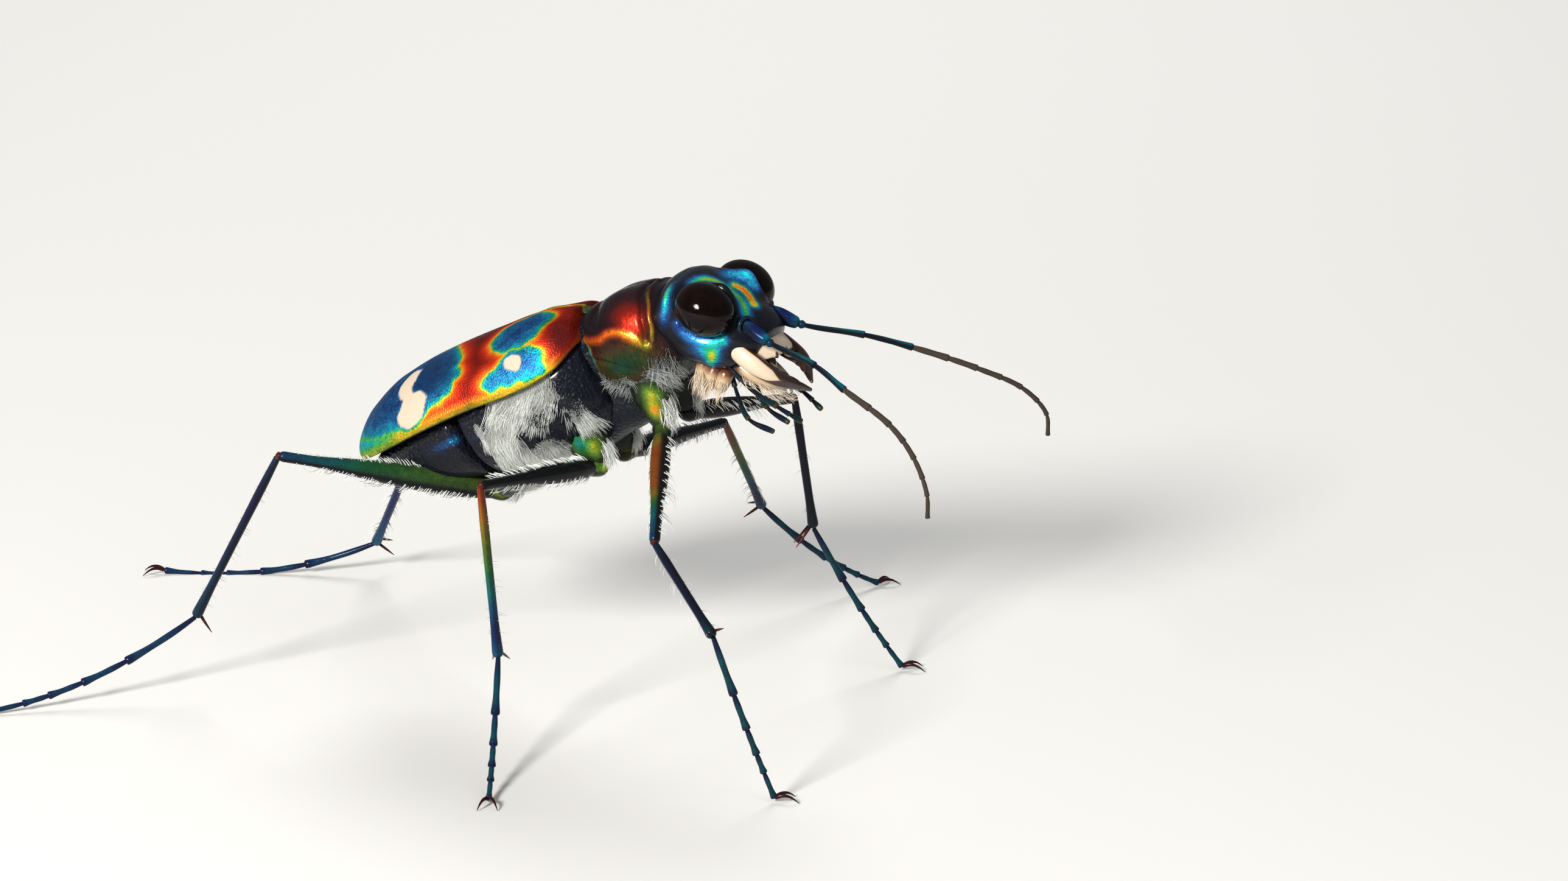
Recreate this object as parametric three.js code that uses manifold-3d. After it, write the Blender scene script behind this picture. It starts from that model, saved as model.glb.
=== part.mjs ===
// A life-size tiger beetle standing on its feet, as a still model.
// Millimetres. +X is ahead, +Y is the beetle's left, +Z is up, and the floor is z = 0.
// The trunk, the prothorax and the head each have a frame of their own, pitched about Y.
import * as THREE from "three";
import { mergeVertices } from "three/addons/utils/BufferGeometryUtils.js";
import Module from "manifold-3d";

const wasm = await Module();
wasm.setup();

// Driving sizes
const GAP = 0.25; // kept between neighbouring pieces
const BASE_HEIGHT = 13.5; // middle of the wing-case base above the floor
const TRUNK_PITCH = 28.7; // degrees nose up
const SHIELD_PITCH = 23; // the prothorax lies flatter than the trunk
const HEAD_PITCH = -25; // the face looks down
const CASE_LENGTH = 10.7; // wing cases, base to tip
const CASE_HALF_WIDTH = 3.3;
const CASE_WALL = 0.6;
const SHIELD_LENGTH = 3.1;
const SHIELD_HALF_WIDTH = 1.95;
const EYE_RADIUS = 0.98;
const EYE_SPREAD = 1.6; // eye centre to the middle plane
const FEELER_RADIUS = 0.25;
const FOOT_RADIUS = 0.26;
const FLOOR_SINK = 0.07; // how much of a foot's round underside the flat takes off
const LOCK_RADIUS = 0.17; // half the width of a lock of hair
const SPINE_RADIUS = 0.12; // at its root
const BRISTLE_LENGTH = 0.42;
const ROOT_DEPTH = 0.15; // of a lock under its skin
const ORIGIN = new THREE.Vector2(-3.94, 2.67); // the middle of the whole model's outline, seen from above

// Finishes, as seen on the real insect
const FINISH = {
  case: { color: 0x2a4f9a, roughness: 0.35, metalness: 0.8 },
  shell: { color: 0x1c4a3c, roughness: 0.3, metalness: 0.8 },
  belly: { color: 0x101a30, roughness: 0.35, metalness: 0.6 },
  eye: { color: 0x1c0c08, roughness: 0.08, metalness: 0.0 },
  horn: { color: 0xe6d6b8, roughness: 0.4, metalness: 0.0 },
  leg: { color: 0x1d3c50, roughness: 0.3, metalness: 0.8 },
  feeler: { color: 0x25304a, roughness: 0.4, metalness: 0.5 },
};

const v3 = (x, y, z) => new THREE.Vector3(x, y, z);
const radians = THREE.MathUtils.degToRad;
const lerp = THREE.MathUtils.lerp;

// A frame pitched nose up by some degrees, with its origin at a point.
function frame(origin, pitch) {
  return new THREE.Matrix4().makeRotationY(-radians(pitch)).setPosition(origin);
}

const TRUNK = frame(v3(0, 0, BASE_HEIGHT), TRUNK_PITCH);
const SHIELD = frame(v3(0.3, 0, 0.1).applyMatrix4(TRUNK), SHIELD_PITCH);
const HEAD = frame(v3(5.2, 0, -0.46).applyMatrix4(TRUNK), HEAD_PITCH);

// A unit vector from its compass heading and its rise, both in degrees.
function heading(turn, rise) {
  const flat = Math.cos(radians(rise));
  return v3(
    flat * Math.cos(radians(turn)),
    flat * Math.sin(radians(turn)),
    Math.sin(radians(rise)),
  );
}

// A closed geometry as a solid, with its faces turned out.
function solidOf(geometry) {
  const bare = new THREE.BufferGeometry();
  bare.setAttribute("position", geometry.getAttribute("position").clone());
  if (geometry.index) bare.setIndex(geometry.index.clone());
  const merged = mergeVertices(bare, 1e-4);
  const vertProperties = Float32Array.from(merged.attributes.position.array);
  const build = (triVerts) =>
    new wasm.Manifold(new wasm.Mesh({ numProp: 3, vertProperties, triVerts }));
  const made = build(Uint32Array.from(merged.index.array));
  if (made.volume() > 0) return made;
  return build(Uint32Array.from(merged.index.array).reverse());
}

// Only the largest closed surface of a solid, which drops loose scraps and sealed hollows.
function largest(solid) {
  return solid
    .decompose()
    .reduce((best, piece) => (piece.volume() > best.volume() ? piece : best));
}

const joined = (...solids) => solids.reduce((sum, piece) => sum.add(piece));
const cut = (solid, ...tools) =>
  tools.reduce((rest, tool) => rest.subtract(tool), solid);

// A box between two corners, in a frame.
function block(low, high, place = new THREE.Matrix4()) {
  const size = high.clone().sub(low);
  const middle = high.clone().add(low).multiplyScalar(0.5);
  const box = new THREE.BoxGeometry(size.x, size.y, size.z);
  return solidOf(box.translate(middle.x, middle.y, middle.z).applyMatrix4(place));
}

// One cross-section of a body: its place, the height of its widest line and its reach from there.
const station = (x, z, width, up, down) => ({ x, z, width, up, down });

// The same body with its skin moved outwards by an amount, or inwards by a negative one.
function swollen(stations, amount) {
  const last = stations.length - 1;
  const forward = Math.sign(stations[last].x - stations[0].x);
  return stations.map((s, i) => {
    const shift = i === 0 ? -forward * amount : i === last ? forward * amount : 0;
    return station(s.x + shift, s.z, s.width + amount, s.up + amount, s.down + amount);
  });
}

// The skin through cross-sections, each a superellipse, rounded off at both ends. It gives the point
// at a share of the length and an angle round it, which is 0 on top and grows to the left side.
function skinThrough(stations, { square = 2.2, round = 0.12 } = {}) {
  const middle = new THREE.CatmullRomCurve3(stations.map((s) => v3(s.x, s.z, s.width)));
  const reach = new THREE.CatmullRomCurve3(stations.map((s) => v3(s.up, s.down, 0)));
  const power = (value) => Math.sign(value) * Math.abs(value) ** (2 / square);
  return (t, angle) => {
    const nearEnd = Math.min(t, 1 - t) / round;
    const taper = nearEnd < 1 ? Math.sqrt(1 - (1 - nearEnd) ** 2) : 1;
    const at = middle.getPoint(t);
    const out = reach.getPoint(t);
    const rise = power(Math.cos(angle));
    const tall = rise > 0 ? out.x : out.y;
    return v3(at.x, at.z * taper * power(Math.sin(angle)), at.y + tall * taper * rise);
  };
}

function bodyThrough(stations, place, form) {
  const skin = skinThrough(stations, form);
  const shape = new THREE.SphereGeometry(1, form.around, form.along);
  const position = shape.getAttribute("position");
  for (let i = 0; i < position.count; i += 1) {
    const t = THREE.MathUtils.clamp((1 - position.getY(i)) / 2, 0, 1);
    const point = skin(t, Math.atan2(position.getX(i), position.getZ(i)));
    position.setXYZ(i, point.x, point.y, point.z);
  }
  return solidOf(shape.applyMatrix4(place));
}

// A limb along a curve, with a radius that follows a rule of t, and flat ends. A pointed one also
// narrows evenly to a tip.
function limb(curve, radius, form = {}) {
  const { sides = 8, steps = 6, flatten = 1, pointed = false, place = new THREE.Matrix4() } = form;
  const shape = new THREE.CylinderGeometry(pointed ? 0 : 1, 1, 1, sides, steps);
  const position = shape.getAttribute("position");
  const start = curve.getTangent(0);
  const aside = Math.abs(start.z) > 0.9 ? v3(1, 0, 0) : v3(0, 0, 1);
  for (let i = 0; i < position.count; i += 1) {
    const t = position.getY(i) + 0.5;
    const tangent = curve.getTangent(t);
    const across = aside.clone().cross(tangent).normalize();
    const upright = tangent.clone().cross(across);
    const at = curve.getPoint(t);
    at.addScaledVector(across, position.getX(i) * radius(t) * flatten);
    at.addScaledVector(upright, position.getZ(i) * radius(t));
    position.setXYZ(i, at.x, at.y, at.z);
  }
  return solidOf(shape.applyMatrix4(place));
}

const through = (...points) => new THREE.CatmullRomCurve3(points);
const straight = (from, to) => new THREE.LineCurve3(from, to);

// A rule that passes smoothly through evenly spaced values.
function rule(...values) {
  const curve = new THREE.CatmullRomCurve3(values.map((value, i) => v3(i, value, 0)));
  return (t) => curve.getPoint(t).y;
}

function ball(center, radii, place = new THREE.Matrix4(), around = 16, along = 12) {
  const shape = new THREE.SphereGeometry(1, around, along);
  shape.scale(radii.x, radii.y, radii.z).translate(center.x, center.y, center.z);
  return solidOf(shape.applyMatrix4(place));
}

// Repeatable numbers between -1 and 1.
function scatter(seed) {
  let state = seed;
  return () => {
    state = (state * 16807) % 2147483647;
    return (2 * state) / 2147483647 - 1;
  };
}

// A lock of hair over three points, the first of them under the skin.
function lock(root, middle, tip) {
  const curve = new THREE.QuadraticBezierCurve3(root, middle, tip);
  return limb(curve, (t) => LOCK_RADIUS * (1 + t), { sides: 3, steps: 2, flatten: 1.5, pointed: true });
}

// Locks over a patch of skin, combed along and round it.
function locksOn(stations, form, place, { from, to, rows, each, comb, lift, seed }) {
  const skinAt = (amount) => skinThrough(swollen(stations, amount), form);
  const [under, over, above] = [-ROOT_DEPTH, lift, 1.2 * lift].map(skinAt);
  const jitter = scatter(seed);
  const made = [];
  for (let row = 0; row < rows; row += 1) {
    for (let i = 0; i < each; i += 1) {
      const t = lerp(from.t, to.t, (row + 0.5 + 0.25 * jitter()) / rows);
      const angle = lerp(from.angle, to.angle, (i + 0.5 + 0.25 * jitter()) / each);
      const turn = comb.angle * (1 + 0.3 * jitter());
      const points = [
        under(t, angle),
        over(t + comb.t / 2, angle + turn / 2),
        above(t + comb.t, angle + turn),
      ];
      made.push(lock(...points.map((point) => point.applyMatrix4(place))));
    }
  }
  return made;
}

// Locks over the part of a ball that faces between two headings, combed one way.
function tuft({ center, radii, place }, { turns, rises, rows, each, comb, seed }) {
  const jitter = scatter(seed);
  const made = [];
  for (let row = 0; row < rows; row += 1) {
    for (let i = 0; i < each; i += 1) {
      const turn = lerp(...turns, (i + 0.5 + 0.25 * jitter()) / each);
      const out = heading(turn, lerp(...rises, (row + 0.5 + 0.25 * jitter()) / rows));
      const root = center.clone().add(out.clone().multiply(radii).multiplyScalar(0.85));
      const middle = root.clone().addScaledVector(out, 0.4).addScaledVector(comb, 0.35);
      const tip = root.clone().addScaledVector(out, 0.35).addScaledVector(comb, 1 + 0.15 * jitter());
      made.push(lock(...[root, middle, tip].map((point) => point.applyMatrix4(place))));
    }
  }
  return made;
}

// One spine from inside a limb to a point.
function spine(root, tip, thick = SPINE_RADIUS) {
  return limb(straight(root, tip), () => thick, { sides: 3, steps: 1, pointed: true });
}

// Directions along a limb and across it: one level, and one that rises.
function across(from, to) {
  const along = to.clone().sub(from).normalize();
  const level = along.clone().cross(v3(0, 0, 1)).normalize();
  return { along, level, upright: level.clone().cross(along) };
}

const BRISTLE_LEAN = 0.6; // towards the far end of the limb, to 1 outwards

// A row of bristles along a limb at one turn round it.
function bristlesOn(from, to, radius, { turn, count, start, end }) {
  const { along, level, upright } = across(from, to);
  const out = level.multiplyScalar(Math.cos(radians(turn)));
  out.addScaledVector(upright, Math.sin(radians(turn)));
  return Array.from({ length: count }, (_, i) => {
    const t = lerp(start, end, i / (count - 1));
    const at = from.clone().lerp(to, t);
    const root = at.clone().addScaledVector(out, 0.4 * radius(t));
    const tip = at.clone().addScaledVector(out, radius(t) + BRISTLE_LENGTH);
    return spine(root, tip.addScaledVector(along, BRISTLE_LEAN * BRISTLE_LENGTH));
  });
}

// Groups hold the meshes, each group in its own frame.
const beetle = new THREE.Group();
const groups = new Map();

function groupAt(place) {
  if (!groups.has(place)) {
    const group = new THREE.Group();
    place.decompose(group.position, group.quaternion, group.scale);
    beetle.add(group);
    groups.set(place, group);
  }
  return groups.get(place);
}

// Adds a finished solid as a named mesh, in the frame it belongs to.
function add(name, solid, finish, place = TRUNK) {
  const { vertProperties, triVerts } = largest(solid).getMesh();
  const geometry = new THREE.BufferGeometry();
  geometry.setAttribute("position", new THREE.BufferAttribute(Float32Array.from(vertProperties), 3));
  geometry.setIndex(new THREE.BufferAttribute(Uint32Array.from(triVerts), 1));
  geometry.applyMatrix4(place.clone().invert());
  geometry.computeVertexNormals();
  const mesh = new THREE.Mesh(geometry, new THREE.MeshStandardMaterial(finish));
  mesh.name = name;
  groupAt(place).add(mesh);
}

const SIDES = [
  { name: "right", sign: -1 },
  { name: "left", sign: 1 },
];

// Wing cases: one domed shell over the abdomen, parted along the middle.
const CASE_STATIONS = [
  station(0.0, 0.35, 1.3, 0.95, 0.12),
  station(-0.3, 0.12, 2.0, 1.3, 0.14),
  station(-0.8, -0.15, 2.5, 1.68, 0.16),
  station(-1.6, -0.3, 2.85, 2.0, 0.18),
  station(-2.9, -0.3, 3.1, 2.08, 0.18),
  station(-4.5, -0.2, 3.2, 2.05, 0.18),
  station(-6.2, -0.18, CASE_HALF_WIDTH, 2.05, 0.18),
  station(-7.8, -0.25, 3.05, 1.97, 0.17),
  station(-9.2, -0.3, 2.4, 1.55, 0.16),
  station(-10.2, -0.3, 1.5, 0.9, 0.14),
  station(-CASE_LENGTH, -0.28, 0.75, 0.36, 0.1),
];
const CASE_FORM = { around: 30, along: 18, square: 2.1, round: 0.06 };

// The space under the shell, open below.
function underCases() {
  const inside = swollen(CASE_STATIONS, -CASE_WALL).map((s) =>
    station(s.x, s.z, Math.max(s.width, 0.1), Math.max(s.up, 0.1), 3),
  );
  return bodyThrough(inside, TRUNK, { ...CASE_FORM, around: 20, along: 12 });
}

function makeCases() {
  const shell = cut(bodyThrough(CASE_STATIONS, TRUNK, CASE_FORM), underCases());
  for (const side of SIDES) {
    const low = v3(-CASE_LENGTH - 1, side.sign > 0 ? GAP / 2 : -6, -6);
    const high = v3(2, side.sign > 0 ? 6 : -GAP / 2, 6);
    add(`elytron_${side.name}`, shell.intersect(block(low, high, TRUNK)), FINISH.case);
  }
}

// Thorax behind the waist and the abdomen after it. Each is a belly just under the rim of the
// wing cases, and a core that rises into them.
const WAIST = -5.5; // the end of the thorax along the trunk
const THORAX_BELLY = [
  station(-0.05, -0.75, 1.5, 0.4, 1.55),
  station(-0.7, -0.9, 2.1, 0.4, 2.0),
  station(-2.0, -1.15, 2.55, 0.4, 2.1),
  station(-3.8, -1.15, 2.8, 0.4, 2.05),
  station(WAIST, -1.05, 2.8, 0.4, 1.95),
];
const THORAX_CORE = [
  station(-0.5, -0.75, 1.2, 1.25, 1.2),
  station(-2.0, -0.8, 1.95, 1.6, 1.2),
  station(-3.8, -0.8, 2.2, 1.65, 1.2),
  station(WAIST, -0.75, 2.2, 1.65, 1.2),
];
const ABDOMEN_BELLY = [
  station(-5.0, -1.05, 2.78, 0.4, 1.9),
  station(-7.2, -1.1, 2.65, 0.4, 1.5),
  station(-9.0, -1.1, 2.0, 0.35, 0.95),
  station(-10.0, -1.0, 1.2, 0.25, 0.6),
  station(-10.4, -0.95, 0.6, 0.2, 0.4),
];
const ABDOMEN_CORE = [
  station(-5.0, -0.75, 2.2, 1.65, 0.8),
  station(-7.2, -0.8, 2.2, 1.5, 0.8),
  station(-9.0, -0.85, 1.6, 1.1, 0.35),
  station(-9.6, -0.87, 0.9, 0.6, 0.2),
];
const SHIELD_STATIONS = [
  station(-0.25, -0.3, 1.45, 1.3, 1.5),
  station(0.15, -0.35, 1.65, 1.42, 1.85),
  station(1.3, -0.45, SHIELD_HALF_WIDTH, 1.7, 2.2),
  station(2.3, -0.4, 0.97 * SHIELD_HALF_WIDTH, 1.6, 1.95),
  station(2.75, -0.35, 1.68, 1.4, 1.6),
  station(SHIELD_LENGTH, -0.3, 1.5, 1.25, 1.35),
];
const HEAD_STATIONS = [
  station(-2.05, -0.9, 1.4, 0.8, 0.95),
  station(-1.35, -0.9, 1.85, 1.1, 1.5),
  station(-0.5, -0.95, 1.78, 1.32, 1.75),
  station(0.4, -1.0, 1.7, 1.42, 1.55),
  station(1.2, -0.95, 1.55, 1.3, 1.35),
  station(1.9, -0.8, 1.3, 0.9, 0.95),
  station(2.25, -0.7, 1.0, 0.55, 0.5),
];
const HIPS = [
  { name: "front", at: v3(1.2, 1.0, -3.65), coxa: v3(1.35, 0.95, -2.55), radii: v3(0.75, 0.68, 1.25) },
  { name: "middle", at: v3(-1.85, 0.95, -4.0), coxa: v3(-1.75, 1.05, -3.25), radii: v3(0.7, 0.7, 0.8) },
  { name: "hind", at: v3(-5.95, 0.82, -3.4), coxa: v3(-5.2, 1.15, -2.85), radii: v3(1.0, 1.0, 0.6) },
];
const TROCHANTER_RADIUS = 0.42;

const mirrored = (point, sign) => v3(point.x, point.y * sign, point.z);

// One coxa with its trochanter, swollen by an amount where it is used to cut its neighbours clear.
function coxa(hip, sign, amount = 0) {
  const radii = hip.radii.clone().addScalar(amount);
  const knob = v3(1, 1, 1).multiplyScalar(TROCHANTER_RADIUS + amount);
  return joined(
    ball(mirrored(hip.coxa, sign), radii, TRUNK, 10, 7),
    ball(mirrored(hip.at, sign), knob, TRUNK, 8, 5),
  );
}

const BELLY_FORM = { around: 22, along: 13, square: 2.4, round: 0.08 };
const CORE_FORM = { around: 15, along: 8, square: 2.2, round: 0.14 };

function thorax(amount = 0) {
  const belly = bodyThrough(swollen(THORAX_BELLY, amount), TRUNK, BELLY_FORM);
  return joined(belly, bodyThrough(swollen(THORAX_CORE, amount), TRUNK, CORE_FORM));
}

// The abdomen meets the thorax in a flat face across the trunk.
function abdomen(amount = 0) {
  const belly = bodyThrough(swollen(ABDOMEN_BELLY, amount), TRUNK, BELLY_FORM);
  const core = bodyThrough(swollen(ABDOMEN_CORE, amount), TRUNK, CORE_FORM);
  return cut(joined(belly, core), block(v3(WAIST - GAP + amount, -6, -6), v3(2, 6, 6), TRUNK));
}

const SHIELD_FORM = { around: 22, along: 12, square: 2.3, round: 0.07 };
const HEAD_FORM = { around: 22, along: 13, square: 2.3, round: 0.1 };
const shield = (amount = 0) => bodyThrough(swollen(SHIELD_STATIONS, amount), SHIELD, SHIELD_FORM);
const skull = (amount = 0) => bodyThrough(swollen(HEAD_STATIONS, amount), HEAD, HEAD_FORM);

// White hair on the sides of the thorax and prothorax, by share of length and angle from the top.
const SIDE_HAIR = {
  from: { t: 0.4, angle: 1.75 },
  to: { t: 0.88, angle: 2.5 },
  rows: 4,
  each: 2,
  comb: { t: 0.12, angle: 0.28 },
  lift: 0.2,
  seed: 11,
};
const BREAST_HAIR = {
  from: { t: 0.16, angle: 1.85 },
  to: { t: 0.3, angle: 2.45 },
  rows: 1,
  each: 3,
  comb: { t: 0.03, angle: 0.35 },
  lift: 0.22,
  seed: 23,
};
const SHIELD_HAIR = {
  from: { t: 0.3, angle: 1.75 },
  to: { t: 0.85, angle: 2.4 },
  rows: 2,
  each: 2,
  comb: { t: -0.1, angle: 0.35 },
  lift: 0.2,
  seed: 37,
};

// The same patch on the right or left side.
function sided(patch, sign) {
  const turned = ({ t, angle }) => ({ t, angle: angle * sign });
  return { ...patch, from: turned(patch.from), to: turned(patch.to), comb: turned(patch.comb) };
}

// Patches of hair on both sides of a body.
function hairOn(stations, form, place, ...patches) {
  const bothSides = SIDES.flatMap(({ sign }) => patches.map((patch) => sided(patch, sign)));
  return joined(...bothSides.flatMap((patch) => locksOn(stations, form, place, patch)));
}

// What the legs keep the hair of the trunk out of.
function hips() {
  const pieces = HIPS.flatMap((hip) =>
    SIDES.flatMap((side) => {
      const { thick } = LEG_SIZES[hip.name];
      return [coxa(hip, side.sign, GAP), femur(legPoints(hip, side), thick, GAP)];
    }),
  );
  return joined(...pieces);
}

// A tuft down the outer face of each coxa.
const COXA_HAIR = {
  front: { turns: [-20, 50], rises: [0, -35], rows: 2, each: 2, comb: v3(0.25, 0.1, -0.75), seed: 41 },
  middle: { turns: [20, 110], rises: [15, -25], rows: 1, each: 4, comb: v3(-0.1, 0.15, -0.7), seed: 43 },
  hind: { turns: [40, 130], rises: [20, -20], rows: 2, each: 3, comb: v3(-0.75, 0.1, -0.2), seed: 47 },
};

function coxaHair(hip, sign) {
  const hair = COXA_HAIR[hip.name];
  const patch = { ...hair, turns: hair.turns.map((turn) => turn * sign), comb: mirrored(hair.comb, sign) };
  return joined(...tuft({ center: mirrored(hip.coxa, sign), radii: hip.radii, place: TRUNK }, patch));
}

function makeTrunk() {
  const cases = bodyThrough(swollen(CASE_STATIONS, GAP), TRUNK, CASE_FORM);
  const legs = hips();
  const sideHair = hairOn(THORAX_BELLY, BELLY_FORM, TRUNK, SIDE_HAIR, BREAST_HAIR);
  const clearHair = cut(sideHair, cases, legs, shield(GAP), abdomen(GAP));
  add("pterothorax", joined(cut(thorax(), shield(GAP)), clearHair), FINISH.belly);
  add("abdomen", abdomen(), FINISH.belly);
  const shieldHair = hairOn(SHIELD_STATIONS, SHIELD_FORM, SHIELD, SHIELD_HAIR);
  const haired = joined(shield(), cut(shieldHair, legs, thorax(GAP), skull(GAP)));
  add("prothorax", cut(haired, cases), FINISH.shell, SHIELD);
  const trunk = [thorax(GAP), shield(GAP), abdomen(GAP), cases];
  for (const hip of HIPS) {
    for (const side of SIDES) {
      const points = legPoints(hip, side);
      const thigh = femur(points, LEG_SIZES[hip.name].thick, GAP);
      const tufts = cut(coxaHair(hip, side.sign), thigh, sideHair);
      add(`coxa_${hip.name}_${side.name}`, cut(joined(coxa(hip, side.sign), tufts), ...trunk), FINISH.leg);
    }
  }
}

// Head with its eyes, lip, jaws and palps.
function eye(sign, amount = 0) {
  const radii = v3(1.1, 0.97, 0.91).multiplyScalar(EYE_RADIUS + amount);
  return ball(v3(0, sign * EYE_SPREAD, -0.15), radii, HEAD, 16, 11);
}

const JAW_CROSSING = 0.22; // how far the tip of the left jaw is raised, and that of the right lowered
const JAW_TEETH = [0.5, 0.64, 0.78]; // along the jaw
const TOOTH_RADIUS = 0.2;

function jaw(sign, amount = 0) {
  const lift = sign * JAW_CROSSING;
  const curve = through(
    v3(1.15, sign * 1.15, -1.0),
    v3(2.3, sign * 1.25, -1.08),
    v3(3.2, sign * 0.95, -1.12 + lift / 2),
    v3(4.15, -sign * 0.2, -1.25 + lift),
  );
  const width = rule(0.42, 0.42, 0.34, 0.12);
  const blade = limb(curve, (t) => width(t) + amount, { sides: 8, steps: 8, place: HEAD });
  const teeth = JAW_TEETH.map((t) => {
    const root = curve.getPoint(t);
    const tip = root.clone().add(v3(0.3, -sign * 0.75, 0));
    const ends = [root, tip].map((point) => point.applyMatrix4(HEAD));
    return spine(...ends, TOOTH_RADIUS + amount);
  });
  return joined(blade, ...teeth);
}

function lip(amount = 0) {
  return ball(v3(2.45, 0, -0.6), v3(0.68, 1.1, 0.26).addScalar(amount), HEAD, 10, 6);
}

const PALPS = [
  {
    name: "maxillary_palp",
    path: [v3(1.4, 1.0, -1.8), v3(2.6, 1.15, -2.02), v3(3.8, 1.0, -2.12), v3(4.6, 0.8, -2.2)],
  },
  {
    name: "labial_palp",
    path: [v3(1.3, 0.5, -2.0), v3(2.06, 0.7, -2.68), v3(2.8, 0.75, -3.22), v3(3.8, 0.6, -3.2)],
  },
];

function makeHead() {
  const eyes = SIDES.map((side) => eye(side.sign, GAP));
  add("head", cut(skull(), ...eyes, shield(GAP)), FINISH.shell, HEAD);
  add("labrum", cut(lip(), skull(GAP)), FINISH.horn, HEAD);
  for (const side of SIDES) {
    add(`eye_${side.name}`, eye(side.sign), FINISH.eye, HEAD);
    const other = side.sign > 0 ? [jaw(-1, GAP)] : [];
    add(`mandible_${side.name}`, cut(jaw(side.sign), skull(GAP), lip(GAP), ...other), FINISH.horn, HEAD);
    for (const palp of PALPS) {
      const curve = through(...palp.path.map((point) => mirrored(point, side.sign)));
      const solid = limb(curve, rule(0.25, 0.24, 0.2, 0.2), { sides: 7, steps: 7, place: HEAD });
      add(`${palp.name}_${side.name}`, cut(solid, skull(GAP), jaw(-1, GAP), jaw(1, GAP)), FINISH.leg, HEAD);
    }
  }
}

// Feelers: eleven joints each, in two lengths.
const FEELER_ROOT = v3(1.3, 1.05, -0.1);
const FEELER_PATH = [
  v3(0, 0, 0),
  v3(1.0, 0.2, -0.46),
  v3(3.1, 1.0, -0.82),
  v3(4.6, 1.8, -1.3),
  v3(6.7, 2.7, -2.05),
  v3(8.0, 3.6, -2.85),
  v3(8.65, 4.1, -3.8),
  v3(8.7, 4.15, -4.6),
];
const FEELER_SPLIT = 0.46; // of its length, after the fourth joint

function feelerCurve(sign) {
  const root = mirrored(FEELER_ROOT, sign).applyMatrix4(HEAD);
  return through(...FEELER_PATH.map((point) => mirrored(point, sign).add(root)));
}

// The stretch of a curve between two shares of its length.
function stretch(curve, from, to, count) {
  const points = Array.from({ length: count }, (_, i) => curve.getPointAt(lerp(from, to, i / (count - 1))));
  return through(...points);
}

function makeFeelers() {
  for (const side of SIDES) {
    const curve = feelerCurve(side.sign);
    const seam = GAP / 2 / curve.getLength();
    const base = stretch(curve, 0, FEELER_SPLIT - seam, 7);
    const tip = stretch(curve, FEELER_SPLIT + seam, 1, 7);
    const scape = rule(0.27, 0.27, 0.22, 0.24, FEELER_RADIUS, FEELER_RADIUS);
    const lower = limb(base, scape, { sides: 8, steps: 10 });
    add(`antenna_${side.name}_base`, cut(lower, skull(GAP), eye(side.sign, GAP)), FINISH.feeler, HEAD);
    const whip = rule(FEELER_RADIUS, FEELER_RADIUS, 0.24, 0.2, 0.1);
    add(`antenna_${side.name}_tip`, limb(tip, whip, { sides: 7, steps: 12 }), FINISH.feeler, HEAD);
  }
}

// Legs: each a femur, a tibia and a tarsus, turned by heading and rise in degrees.
const LEG_SIZES = {
  front: { femur: 5.1, tibia: 4.9, tarsus: 6.2, thick: 0.46 },
  middle: { femur: 6.1, tibia: 6.7, tarsus: 6.4, thick: 0.46 },
  hind: { femur: 8.1, tibia: 7.8, tarsus: 8.1, thick: 0.52 },
};
const STANCE = {
  front_right: { femur: [-68, -34], tibia: [-38, -24], tarsus: 35 },
  front_left: { femur: [68, -6], tibia: [25, -82], tarsus: 31 },
  middle_right: { femur: [-105, 7], tibia: [94, -79], tarsus: -66 },
  middle_left: { femur: [80, -4], tibia: [99, -44], tarsus: 57 },
  hind_right: { femur: [-142, 13], tibia: [170, -59], tarsus: -135 },
  hind_left: { femur: [149, -10], tibia: [132, -40], tarsus: 205 },
};
const KNEE_RADIUS = 0.27;
const TIBIA_RADIUS = 0.25;
const ANKLE_RADIUS = 0.3;

// The joints of one leg, from the hip to the tip of the foot, which just meets the floor.
function legPoints(hip, side) {
  const size = LEG_SIZES[hip.name];
  const turn = STANCE[`${hip.name}_${side.name}`];
  const start = mirrored(hip.at, side.sign).applyMatrix4(TRUNK);
  const knee = heading(...turn.femur).multiplyScalar(size.femur).add(start);
  const ankle = heading(...turn.tibia).multiplyScalar(size.tibia).add(knee);
  const drop = ankle.z - (FOOT_RADIUS - FLOOR_SINK);
  const rise = -THREE.MathUtils.radToDeg(Math.asin(drop / size.tarsus));
  const foot = heading(turn.tarsus, rise).multiplyScalar(size.tarsus).add(ankle);
  return { start, knee, ankle, foot };
}

// A line lengthened past its end by an amount.
const past = (from, to, amount) => to.clone().add(to.clone().sub(from).setLength(amount));

function femurRadius(thick) {
  return rule(0.7 * thick, 0.95 * thick, thick, 0.85 * thick, 0.66 * thick, KNEE_RADIUS, KNEE_RADIUS);
}

function femur(points, thick, amount = 0) {
  const bulge = femurRadius(thick);
  const curve = straight(points.start, past(points.start, points.knee, 0.1 + amount));
  return limb(curve, (t) => bulge(t) + amount, { sides: 9, steps: 7 });
}

const tibiaRadius = rule(TIBIA_RADIUS, TIBIA_RADIUS, TIBIA_RADIUS, 0.27, ANKLE_RADIUS);

function tibia(points, amount = 0) {
  const curve = straight(points.knee, past(points.knee, points.ankle, amount));
  return limb(curve, (t) => tibiaRadius(t) + amount, { sides: 8, steps: 5 });
}

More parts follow.
